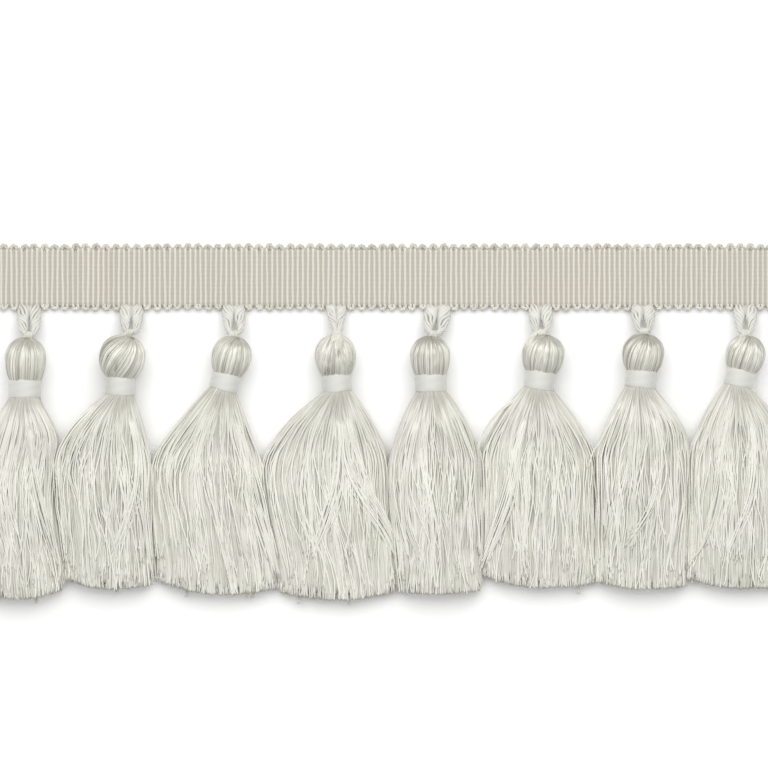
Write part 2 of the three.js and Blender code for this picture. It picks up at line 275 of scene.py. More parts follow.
class TasselSettings(bpy.types.PropertyGroup):
    thread_radius: bpy.props.FloatProperty(
        name="Thread radius", description="Radius of one thread of floss in the skirts",
        default=0.00024, unit="LENGTH",
    )
    seed: bpy.props.IntProperty(
        name="Seed", description="Chooses how the threads of floss fall", default=5, min=0
    )
    light_colour: bpy.props.FloatVectorProperty(
        name="Light floss", description="Floss where it is cleanest and brightest",
        default=linear("F7F6F0"), **COLOUR,
    )
    dull_colour: bpy.props.FloatVectorProperty(
        name="Dull floss", description="Floss where it is greyest",
        default=linear("CCCBC2"), **COLOUR,
    )
    # Painted shade: the colour that the crowns, the floss under the bands, the hollows, the balls'
    # cores and the cut ends are mixed towards, where shade falls and the floss turns from the
    # light.
    gathered_colour: bpy.props.FloatVectorProperty(
        name="Gathered floss",
        description="Floss drawn tight and seen nearly end on, at crowns and necks",
        default=linear("A7A599"), **COLOUR,
    )


class BandSettings(bpy.types.PropertyGroup):
    length: bpy.props.FloatProperty(
        name="Band length", description="Height of the band wound round a neck",
        default=BAND_LENGTH * MM, unit="LENGTH",
    )
    colour: bpy.props.FloatVectorProperty(
        name="Band colour", description="The satin band wound round the necks",
        default=linear("D2D2CC"), **COLOUR,
    )


class StageSettings(bpy.types.PropertyGroup):
    floor_colour: bpy.props.FloatVectorProperty(
        name="Floor colour", description="The pale table", default=linear("FFFFFF"), **COLOUR,
    )
    key_power: bpy.props.FloatProperty(
        name="Key power", description="The soft light above the braid's far side",
        default=4.7, unit="POWER",
    )
    fill: bpy.props.FloatProperty(
        name="Fill", description="Strength of the even light from all round", default=0.64, min=0
    )


SETTINGS = {
    "fringe_braid": BraidSettings,
    "fringe_loops": LoopSettings,
    "fringe_tassels": TasselSettings,
    "fringe_bands": BandSettings,
    "fringe_stage": StageSettings,
}


# Surfaces as whole arrays.


def units(vectors):
    """Vectors along the last axis, each divided by its own length."""
    return vectors / np.maximum(np.linalg.norm(vectors, axis=-1, keepdims=True), 1e-9)


def run_along(lines):
    """The distance from the start of each line of points to each of its points."""
    steps = np.linalg.norm(np.diff(lines, axis=-2), axis=-1)
    return np.concatenate([0 * steps[..., :1], np.cumsum(steps, axis=-1)], axis=-1)


def ring_faces(count, stations, sides):
    """Faces of closed tubes whose points lie tube by tube, ring by ring. Each side face
    joins a point, the next round its ring, and the two that follow them on the next ring.
    Each end is closed by four-sided faces that fan out from the ring's first point, so
    the number of sides is even."""
    t, p, k = np.meshgrid(
        np.arange(count), np.arange(stations - 1), np.arange(sides), indexing="ij"
    )
    start = (t * stations + p) * sides
    a, b = start + k, start + (k + 1) % sides
    walls = np.stack([a, a + sides, b + sides, b], axis=-1).reshape(-1, 4)
    odd = np.arange(1, sides - 1, 2)
    fan = np.stack([0 * odd, odd, odd + 1, odd + 2], axis=-1)
    first = (np.arange(count) * stations * sides)[:, None, None]
    last = first + (stations - 1) * sides
    ends = [(first + fan).reshape(-1, 4), (last + fan[:, ::-1]).reshape(-1, 4)]
    return np.concatenate([walls, *ends])


def tubes(paths, radii, sides=FLOSS_SIDES, hint=UP):
    """Closed round tubes along many centre lines at once. At each point of a path the
    tangent is the central difference, the across vector is tangent x hint made a unit,
    and the up vector is across x tangent. The ring's points are
    centre + radius (cos a across + sin a up), for evenly spaced angles a. Each tube's
    fibre map starts 1.7 mm on from the last one's, so that no two look alike."""
    n, p = paths.shape[:2]
    tangent = units(np.gradient(paths, axis=1))
    across = units(np.cross(tangent, np.broadcast_to(hint, tangent.shape)))
    up = np.cross(across, tangent)
    angle = FULL_TURN * (np.arange(sides) + 0.5) / sides
    reach = np.broadcast_to(np.asarray(radii, dtype=float), (n, p))[..., None]
    points = (
        paths[:, :, None, :]
        + (reach * np.cos(angle))[..., None] * across[:, :, None, :]
        + (reach * np.sin(angle))[..., None] * up[:, :, None, :]
    )
    around = FULL_TURN * np.arange(sides) / sides * np.mean(reach)
    around = around + 1.7 * np.arange(n)[:, None, None]
    fibre = np.stack(np.broadcast_arrays(around, run_along(paths)[..., None]), axis=-1)
    return points.reshape(-1, 3), ring_faces(n, p, sides), fibre.reshape(-1, 2)


def ringed(rings):
    """One closed tube whose rings of points are given, with the distance round the ring and
    the distance along the tube as its fibre map."""
    stations, sides = rings.shape[:2]
    around = np.linalg.norm(np.roll(rings, -1, axis=1) - rings, axis=-1).mean(axis=0).cumsum()
    run = run_along(rings.mean(axis=1))[:, None]
    fibre = np.stack(np.broadcast_arrays(around, run), axis=-1)
    return rings.reshape(-1, 3), ring_faces(1, stations, sides), fibre.reshape(-1, 2)


def joined(*surfaces):
    """Several surfaces (points, faces, fibre map) as one: the faces of each count on from
    the points before it."""
    counts = np.cumsum([0] + [len(surface[0]) for surface in surfaces[:-1]])
    return (
        np.concatenate([surface[0] for surface in surfaces]),
        np.concatenate([surface[1] + start for surface, start in zip(surfaces, counts)]),
        np.concatenate([surface[2] for surface in surfaces]),
    )


def put_piece(name, surface, finish, slot, stands_for, **marks):
    """Makes one piece from points in mm, four-sided faces and a fibre map, with a value at
    each point for every named mark, and sets it in the frame. Points under the table are
    raised to it. The fibre map, in mm, runs across the fibres in its first number and
    along them in its second."""
    points, faces, fibre = surface
    points[:, 2] = np.maximum(points[:, 2], 0.0)
    mesh = bpy.data.meshes.new(name)
    mesh.vertices.add(len(points))
    mesh.vertices.foreach_set("co", (points * MM).astype(np.float32).ravel())
    mesh.loops.add(faces.size)
    mesh.loops.foreach_set("vertex_index", faces.astype(np.int32).ravel())
    mesh.polygons.add(len(faces))
    mesh.polygons.foreach_set("loop_start", np.arange(0, faces.size, 4, dtype=np.int32))
    mesh.update(calc_edges=True)
    mesh.shade_smooth()
    for mark, values in marks.items():
        layer = mesh.attributes.new(mark, "FLOAT", "POINT")
        layer.data.foreach_set("value", np.asarray(values, dtype=np.float32).ravel())
    layer = mesh.uv_layers.new(name="fibre")
    layer.uv.foreach_set("vector", fibre[faces.ravel()].astype(np.float32).ravel())
    mesh.materials.append(finish)
    piece = bpy.data.objects.new(name, mesh)
    bpy.context.scene.collection.objects.link(piece)
    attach(piece, "root")
    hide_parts(*stands_for)
    return piece


def toned(surface, tone, gather):
    """A surface with its tone and its painted shade, at each point. A value
    given once, for each thread or for each station of the threads is repeated over the
    points that it covers."""
    count = len(surface[0])
    tone, gather = (np.repeat(np.ravel(v), count // np.size(v)) for v in (tone, gather))
    return surface, tone, gather


def put_floss(kind, i, finish, made):
    """Makes one piece of floss of several toned surfaces, in the place of tassel i."""
    surfaces, tones, gathers = zip(*made)
    number = i + 1
    put_piece("floss_%s_%d" % (kind, number), joined(*surfaces), finish, "floss",
              ["tassel_%d" % number], shade=np.concatenate(tones), gather=np.concatenate(gathers))


# Materials.


def add_node(tree, kind, links=None, **settings):
    """Adds a node. A setting that names an input is its value, and any other is a property.
    links gives an input's name or number the output that feeds it."""
    node = tree.nodes.new(kind)
    for key, value in settings.items():
        if key in node.inputs:
            node.inputs[key].default_value = value
        else:
            setattr(node, key, value)
    for key, output in (links or {}).items():
        tree.links.new(output, node.inputs[key])
    return node


def new_material(name, **surface):
    """A material with one shader, whose constant settings go straight on its sockets."""
    material = bpy.data.materials.new(name)
    material.use_nodes = True
    tree = material.node_tree
    shader = tree.nodes["Principled BSDF"]
    for key, value in surface.items():
        shader.inputs[key.replace("_", " ")].default_value = value
    return material, tree, shader


def lay_of_fibres(tree, shader):
    """Makes the gloss stretch across the fibres, which run along the map's second number."""
    tangent = add_node(tree, "ShaderNodeTangent", direction_type="UV_MAP", uv_map="fibre")
    tree.links.new(tangent.outputs["Tangent"], shader.inputs["Tangent"])


def dye_drift(tree, place, colour, scale, detail):
    """Tints a colour by dye that drifts between olive and rose, in patches of 1 / scale m."""
    lots = add_node(tree, "ShaderNodeTexNoise", {"Vector": place}, Scale=scale, Detail=detail)
    drift = add_node(tree, "ShaderNodeMix", {"Factor": lots.outputs["Fac"]}, data_type="RGBA",
                     A=linear("F9FCF5"), B=linear("FEFBFB"))
    dyed = add_node(tree, "ShaderNodeMix", {"A": colour, "B": drift.outputs["Result"]},
                    data_type="RGBA", blend_type="MULTIPLY", Factor=1.0)
    return dyed.outputs["Result"]


def relief(tree, shader, height, strength, depth):
    """Dents the surface by a height, as deep as the given metres where the height is 1."""
    bump = add_node(tree, "ShaderNodeBump", {"Height": height}, Strength=strength, Distance=depth)
    tree.links.new(bump.outputs["Normal"], shader.inputs["Normal"])


def floss_material():
    """Viscose floss: hundreds of parallel glossy filaments, cream white. It shines across
    the threads where they turn to the light. Where they are seen end on, at crowns and
    necks, and in hollows and gaps, they are greyed by painted shade. The heads and the skirts share
    it."""
    if "viscose_floss" in bpy.data.materials:
        return bpy.data.materials["viscose_floss"]
    own = bpy.context.scene.fringe_tassels
    material, tree, shader = new_material(
        "viscose_floss", Roughness=0.42, Specular_IOR_Level=0.6, IOR=1.55, Anisotropic=0.8
    )
    lay_of_fibres(tree, shader)
    shade = add_node(tree, "ShaderNodeAttribute", attribute_name="shade").outputs["Fac"]
    place = add_node(tree, "ShaderNodeTexCoord").outputs["Object"]
    lay = add_node(tree, "ShaderNodeUVMap", uv_map="fibre").outputs["UV"]
    # Filaments bunch in streaks 0.5 mm wide and about 10 mm long.
    streak = add_node(tree, "ShaderNodeMapping", {"Vector": lay}, Scale=(2.0, 0.1, 1.0))
    streaks = add_node(
        tree, "ShaderNodeTexNoise", {"Vector": streak.outputs["Vector"]}, Scale=1.0, Detail=3.0
    ).outputs["Fac"]
    # The tone varies in random patches about 6 mm wide.
    patches = add_node(tree, "ShaderNodeTexNoise", {"Vector": place}, Scale=160.0, Detail=2.0)
    # The tone is the sum of the thread's own, the patches and the streaks.
    part = add_node(tree, "ShaderNodeMath", {0: patches.outputs["Fac"], 1: shade}, operation="ADD")
    whole = add_node(tree, "ShaderNodeMath", {0: part.outputs[0], 1: streaks}, operation="ADD")
    tone = add_node(tree, "ShaderNodeMapRange", {"Value": whole.outputs[0]},
                    **{"From Min": 0.92, "From Max": 2.2})
    colour = add_node(tree, "ShaderNodeMix", {"Factor": tone.outputs["Result"]}, data_type="RGBA",
                      A=own.dull_colour, B=own.light_colour)
    # The dye drifts over about 12 mm.
    dyed = dye_drift(tree, place, colour.outputs["Result"], scale=85.0, detail=2.0)
    # Painted shade: this mark mixes the floss towards the painted shade colour, at crowns, under
    # the bands, in hollows, in the balls' cores and at the cut ends.
    gather = add_node(tree, "ShaderNodeAttribute", attribute_name="gather").outputs["Fac"]
    tight = add_node(tree, "ShaderNodeMix", {"Factor": gather, "A": dyed}, data_type="RGBA",
                     B=own.gathered_colour)
    tree.links.new(tight.outputs["Result"], shader.inputs["Base Color"])
    relief(tree, shader, streaks, 0.35, 0.0003)
    return material


def loop_material():
    """Twisted viscose cord: bright plies with a soft gloss, and painted shade where they meet."""
    own = bpy.context.scene.fringe_loops
    material, tree, shader = new_material(
        "twisted_loop_cord", Roughness=0.42, Specular_IOR_Level=0.8
    )
    groove_painted_shade = add_node(tree, "ShaderNodeAttribute", attribute_name="shade").outputs["Fac"]
    colour = add_node(tree, "ShaderNodeMix", {"Factor": groove_painted_shade}, data_type="RGBA",
                      A=linear("B2B1A6"), B=own.colour)
    tree.links.new(colour.outputs["Result"], shader.inputs["Base Color"])
    return material


def braid_material():
    """Grosgrain of viscose cord: the weft cords stand as ribs, with a painted highlight along
    each crest, painted shade on the duller cords between them, and fine warp."""
    own = bpy.context.scene.fringe_braid
    material, tree, shader = new_material("ribbed_grosgrain", Roughness=0.55)
    crest = add_node(tree, "ShaderNodeAttribute", attribute_name="shade").outputs["Fac"]
    place = add_node(tree, "ShaderNodeTexCoord").outputs["Object"]
    colour = add_node(tree, "ShaderNodeMix", {"Factor": crest}, data_type="RGBA",
                      A=own.valley_painted_shade_colour, B=own.crest_painted_highlight_colour)
    # The yarn's dye drifts over about 30 mm.
    dyed = dye_drift(tree, place, colour.outputs["Result"], scale=34.0, detail=1.0)
    tree.links.new(dyed, shader.inputs["Base Color"])
    # Warp threads cross the ribs every 0.3 mm; drawn coarser, 1.12 mm apart, so that they
    # show. A wave of scale 1 turns 20 radians in a metre.
    warp = add_node(
        tree, "ShaderNodeTexWave", {"Vector": place},
        bands_direction="Y", Scale=FULL_TURN / 20 / (1.12 * MM), Distortion=2.0, Detail=2.0,
    )
    relief(tree, shader, warp.outputs["Fac"], 0.3, 0.0001)
    return material


def band_material():
    """Satin thread wound flat round the neck: smooth, white and softly glossy."""
    own = bpy.context.scene.fringe_bands
    material, tree, shader = new_material(
        "wound_satin_band", Roughness=0.5, Specular_IOR_Level=0.7, Anisotropic=0.7
    )
    lay_of_fibres(tree, shader)
    shader.inputs["Base Color"].default_value = own.colour
    winding = add_node(tree, "ShaderNodeAttribute", attribute_name="winding").outputs["Fac"]
    wave = add_node(tree, "ShaderNodeMath", {0: winding}, operation="SINE")
    relief(tree, shader, wave.outputs[0], 0.25, 0.00005)
    return material


# The pieces.


class FRINGE_OT_braid_heading(bpy.types.Operator):
    """Build the ribbed braid"""

    bl_idname = "fringe.braid_heading"
    bl_label = "Braid Heading"

    def execute(self, context):
        own = context.scene.fringe_braid
        rng = np.random.default_rng(BRAID_SEED)
        pitch = own.picot_pitch / MM / 2
        half = own.half_width / MM
        low, high = own.valley_height / MM, own.rib_height / MM
        ribs = 2 * PICOTS_PER_TASSEL * TASSEL_COUNT
        steps_along_rib, steps_over = 6, 26
        # The section at each place along the braid: over the top in small steps, and back
        # under it in three. u counts ribs along the braid, v runs from edge to edge.
        u = np.linspace(0, ribs, ribs * steps_along_rib + 1)[:, None]
        over = np.linspace(-1, 1, steps_over)
        v = np.concatenate([[-1.0], over, [1.0, 0.35, -0.35]])[None, :]
        on_top = np.concatenate([[0.0], np.ones(steps_over), [0.0, 0.0, 0.0]])[None, :]
        # Each rib wanders sideways by a few hundredths of a millimetre on its way across.
        rib = np.minimum(u.astype(int), ribs - 1)
        phase = rng.uniform(0, FULL_TURN, (2, ribs))
        lean = rng.normal(0, 0.05, ribs)
        wander = 0.02 * np.sin(5 * v + phase[0][rib]) + 0.012 * np.sin(11 * v + phase[1][rib])
        wander = wander + lean[rib] * v
        inside = np.clip(np.minimum(u, ribs - u), 0, 1)
        x = (u - ribs / 2) * pitch + wander * inside * on_top
        # Across a rib: a cord that stands high, and one that lies lower; the high one is painted
        # bright and the low one dark, as painted highlight and painted shade.
        f = u - np.floor(u)
        cord = np.clip(1 - ((f - 0.5) / 0.3) ** 2, 0, 1) ** 0.5
        broad = np.clip(1 - ((np.abs(f - 0.5) - 0.5) / 0.24) ** 2, 0, 1) ** 0.5
        rounded = np.clip((1 - np.abs(v)) / 0.05, 0, 1) ** 0.5
        z = on_top * (low + (high - low) * cord + 0.12 * broad) * (0.8 + 0.2 * rounded)
        y = v * half + on_top * rng.normal(0, 0.05, ribs)[rib] * v**9
        points, faces, _ = ringed(np.stack(np.broadcast_arrays(x, y, z), axis=-1))
        # Painted highlight and shade: the crest mark follows the high cord's height.
        crest = np.clip(cord * 1.1 - 0.1 + rng.normal(0, 0.07, ribs)[rib], 0, 1) + 0 * v
        finish = braid_material()
        surface = points, faces, points[:, :2]
        braid = put_piece("braid_ribs", surface, finish, "ribbed_braid", ["heading"], shade=crest)
        picots = self.picots(own, finish, pitch, half)
        return {"FINISHED"}

    def picots(self, own, finish, pitch, half):
        """The edge loops: two plies of cord twisted round an arch that leaves the end of one
        rib and comes back at the next. The arch is a half turn of an ellipse, with its sine
        raised to 0.5 so that it stands square. Along the lower edge, the two places of each
        tassel where its loop leaves the braid have none."""
        rng = np.random.default_rng(PICOT_SEED)
        count = PICOTS_PER_TASSEL * TASSEL_COUNT
        index = np.arange(count)
        middle = PICOTS_PER_TASSEL // 2
        free = ~np.isin(index % PICOTS_PER_TASSEL, (middle - 1, middle))
        places = np.concatenate([index, index[free]])
        side = np.concatenate([np.ones(count), -np.ones(free.sum())])
        n, stations, sides = len(places), 13, 6
        cord, ply_offset, ply_radius, twists = 0.56, 0.22, 0.34, 1.6
        s = np.linspace(0, 1, stations)[None, :]
        angle = np.pi * s
        centre = (places[:, None] + 0.5 - count / 2) * 2 * pitch + rng.normal(0, 0.07, (n, 1))
        width = pitch * rng.uniform(0.4, 0.5, (n, 1))
        reach = own.picot_reach / MM * rng.uniform(1.0, 1.3, (n, 1))
        skew = rng.normal(0, 0.12, (n, 1))
        x = centre - width * np.cos(angle) + skew * np.sin(angle)
        # Each foot is hidden 0.6 mm inside the braid.
        out = -0.6 + (reach + 0.6 - cord) * np.sin(angle) ** 0.5
        y = side[:, None] * (half + out)
        z = 0.95 + 0.1 * np.abs(np.cos(angle)) + 0 * x
        z = z + rng.normal(0, 0.05, (n, 1))
        path = np.stack([x, y, np.maximum(z, cord + 0.02)], axis=-1)
        flat = np.cross(units(np.gradient(path, axis=1)), UP)
        twist = FULL_TURN * twists * s[..., None] + rng.uniform(0, FULL_TURN, (n, 1, 1))
        plies = []
        for ply in (0, np.pi):
            offset = ply_offset * (np.cos(twist + ply) * flat + np.sin(twist + ply) * UP)
            plies.append(tubes(path + offset, ply_radius, sides=sides))
        # Painted light: the lower edge's picots are painted lighter, against the shade of the
        # braid's edge that falls on them.
        shade = rng.uniform(0.15, 0.6, n) + 0.5 * (side < 0)
        shade = np.repeat(np.concatenate([shade, shade]), stations * sides)
        return put_piece("braid_picots", joined(*plies), finish, "ribbed_braid", ["heading"],
                         shade=shade)


def axis_height(t):
    """The height of a tassel's axis above the table."""
    return t["head_radius"] - FLAT_SPOT_DEPTH


def lean_of(t):
    """How a tassel lies: the unit vector down its axis from the ball to the band, the one
    across it to the right, and the distance from ball to band."""
    down = np.array([t["neck_x"] - t["head_x"], t["neck_y"] - t["head_y"], 0.0])
    to_neck = np.linalg.norm(down)
    down /= to_neck
    return down, np.array([-down[1], down[0], 0.0]), to_neck


def neck_middle(t):
    """The middle of the neck, on the tassel's axis."""
    return np.array([t["neck_x"], t["neck_y"], axis_height(t)])


def catmull_rom(stations, steps):
    """A smooth line through the stations. Between two of them it is the uniform cubic whose
    tangent at a station is half the way from the one before it to the one after it. It is
    then walked at even lengths. Numbers past x, y and z are carried along with them."""
    before, after = 2 * stations[0] - stations[1], 2 * stations[-1] - stations[-2]
    p = np.concatenate([[before], stations, [after]])
    t = np.linspace(0, 1, 40, endpoint=False)[None, :, None]
    a, b, c, d = (p[i : len(p) - 3 + i, None, :] for i in range(4))
    square, cube = 2 * a - 5 * b + 4 * c - d, 3 * b - a - 3 * c + d
    line = 0.5 * (2 * b + (c - a) * t + square * t**2 + cube * t**3)
    line = np.concatenate([line.reshape(-1, stations.shape[1]), stations[-1:]])
    length = run_along(line[:, :3])
    even = np.linspace(0, length[-1], steps)
    return np.stack([np.interp(even, length, column) for column in line.T], axis=-1)


class FRINGE_OT_hanger_loops(bpy.types.Operator):
    """Build the twisted loops that carry the tassels"""

    bl_idname = "fringe.hanger_loops"
    bl_label = "Hanger Loops"

    def execute(self, context):
        own = context.scene.fringe_loops
        finish = loop_material()
        for i, t in enumerate(TASSELS):
            self.loop(own, finish, i, t)
        return {"FINISHED"}

    def route(self, own, i, t, steps):
        """The loop's centre line down one leg, round its turn in the fold of floss and up
        the other leg, and the half width of the flat cord along it, in mm."""
        braid = bpy.context.scene.fringe_braid
        root_x = braid.picot_pitch / MM * PICOTS_PER_TASSEL * (i - (TASSEL_COUNT - 1) / 2)
        top = -braid.half_width / MM + 0.35
        turn_y = t["crown_y"] + FOLD_ABOVE_CROWN
        # For one leg, from the braid to the turn: half the distance between the legs, the
        # share of the way down, and the half width of a cord whose radius is 1.05 mm.
        eye = LOOP_EYES[i]
        if i == SLIM_LOOP:
            rows = ((1.3, 0, 1.3), (1.25, 0.18, 1.35), (1.05, 0.42, 1.2), (0.8, 0.68, 0.95),
                    (0.55, 0.9, 0.7))
        else:
            rows = ((1.3, 0, 1.4), (1.45, 0.18, 1.62), (1.58, 0.42, 1.62),
                    (1.62, 0.66, 1.42 - 0.3 * eye), (1.4 + 0.15 * eye, 0.86, 1.1 - 0.3 * eye),
                    (0.8 + 0.15 * eye, 0.98, 0.7 - 0.1 * eye))
        spread, thick = LOOP_SPREADS[i], own.leg_radius / MM / 1.05

        def at(side, out, share, width):
            x = mix(root_x, t["hang_x"], smooth(share)) + side * out * spread
            y, z = mix(top, turn_y, share), mix(0.9, axis_height(t), share)
            return x, y, z, width * spread * thick

        turn = at(0, 0, 1, 0.7 * own.turn_radius / MM)
        stations = [at(1, *row) for row in rows] + [turn] + [at(-1, *row) for row in rows[::-1]]
        line = catmull_rom(np.array(stations), steps)
        return line[:, :3], line[:, 3]

    def loop(self, own, finish, i, t):
        """Seven fine plies wound round the loop's centre line, over a thin core. Each ply's
        centre goes round it on a flat ellipse as it runs on, and its own section is round."""
        rng = np.random.default_rng(LOOP_SEED + i)
        steps, plies, sides = 66, 7, 6
        path, wide = self.route(own, i, t, steps)
        s = np.linspace(0, 1, steps)
        # The cord is thinner where it leaves the braid.
        at_root = smooth((np.abs(2 * s - 1) - 0.88) / 0.12)
        thick = (0.3 + 0.5 * wide) * mix(1.0, 0.5, at_root)
        tangent = units(np.gradient(path, axis=0))
        across = units(np.cross(tangent, UP))
        up = np.cross(across, tangent)
        # The two legs are laid the opposite way, so the stripes meet in the middle as a V.
        wind = -FULL_TURN * own.twists * (0.5 - np.abs(s - 0.5)) + rng.uniform(0, 2)
        for size, waves in ((0.3, 19), (0.2, 33)):
            wind = wind + size * np.sin(waves * s + rng.uniform(0, 6.3))
        ply_radius = 0.185 * (wide + thick)
        parts, shade = [], []
        for ply in range(plies):
            angle = wind + FULL_TURN * (ply + rng.uniform(-0.1, 0.1)) / plies
            radius = ply_radius * rng.uniform(0.9, 1.1)
            loose = 0.08 * np.sin(17 * s + 2 * ply) + 0.05 * np.sin(41 * s + 3 * ply)
            out = ((wide - radius + loose) * np.cos(angle))[:, None] * across
            out = out + ((thick - radius).clip(0.1) * np.sin(angle))[:, None] * up
            tube = tubes((path + out)[None], radius[None], sides=sides)
            # Painted shade: a ply is painted dull where it faces in, towards the cord's centre
            # line, where the plies shade each other.
            from_centre = tube[0].reshape(steps, sides, 3) - (path + out)[:, None, :]
            facing = np.einsum("ijk,ik->ij", from_centre, units(out)) / radius[:, None]
            parts.append(tube)
            shade.append(smooth((facing + 0.1) / 0.6).ravel() * rng.uniform(0.75, 1.0))
        # Painted shade: the thin core is painted dull, for the gaps between the plies.
        parts.append(tubes(path[None], (0.6 * thick)[None], sides=sides))
        shade.append(np.full(steps * sides, 0.2))
        number = i + 1
        put_piece("loop_cord_%d" % number, joined(*parts), finish, "loop_cord",
                  ["loop_%d" % number], shade=np.concatenate(shade))


def ball_shape(t):
    """The ball's sizes: its radius, the height of its crown, the half height of its foot,
    and the angle at which the foot meets the neck's rim."""
    foot = math.asin((t["neck_radius"] - 0.1) / t["head_radius"])
    foot_y = lean_of(t)[2] - BAND_LENGTH / 2
    return t["head_radius"], t["crown_y"] - t["head_y"], foot_y / math.cos(foot), foot


def on_ball(t, direction, scale=1.0):
    """A point of the ball for a unit direction (right, up the tassel, towards the viewer):
    the centre plus each part of the direction times the ball's own half size that way."""
    down, across, _ = lean_of(t)
    radius, crown, lower, _ = ball_shape(t)
    centre = np.array([t["head_x"], t["head_y"], axis_height(t)])
    up_size = np.where(direction[..., 1] > 0, crown, lower)
    return (
        centre
        + scale * radius * direction[..., 0:1] * across
        - scale * (up_size * direction[..., 1])[..., None] * down
        + scale * radius * direction[..., 2:3] * UP
    )


def turn_about(vectors, axis, angle):
    """Turns vectors about a unit axis: v cos a + (axis x v) sin a + axis (axis . v)(1 - cos a)."""
    c, s = np.cos(angle)[..., None], np.sin(angle)[..., None]
    along = (vectors @ axis)[..., None] * axis
    turned = np.cross(np.broadcast_to(axis, vectors.shape), vectors)
    return vectors * c + turned * s + along * (1 - c)


def rim_direction(t, phi):
    """The direction from the ball's centre to a place on the neck's rim, phi from the front."""
    foot = ball_shape(t)[3] + 0 * phi
    sine = np.sin(foot)
    return np.stack([np.sin(phi) * sine, -np.cos(foot), np.cos(phi) * sine], axis=-1)


def spread_round(t, pole, share):
    """Places round the neck's rim for even shares of a turn. Lines from there to the
    gathering point are spread evenly, half by their feet and half by their directions at
    the gathering point: the mean of the two angles is tabled and looked up backwards."""
    phi = np.linspace(-np.pi, np.pi, 361)
    end = rim_direction(t, phi)
    right = units(np.cross(pole, UP))
    bearing = np.unwrap(np.arctan2(end @ right, end @ np.cross(right, pole)))
    mean = (phi + bearing) / 2
    return np.interp(share, (mean - mean[0]) / (mean[-1] - mean[0]), phi)


def per_bundle(count, rng):
    """A random number for each thread, the same for the threads of one bundle."""
    return rng.normal(0, 1, count // BUNDLE + 1)[np.arange(count) // BUNDLE]


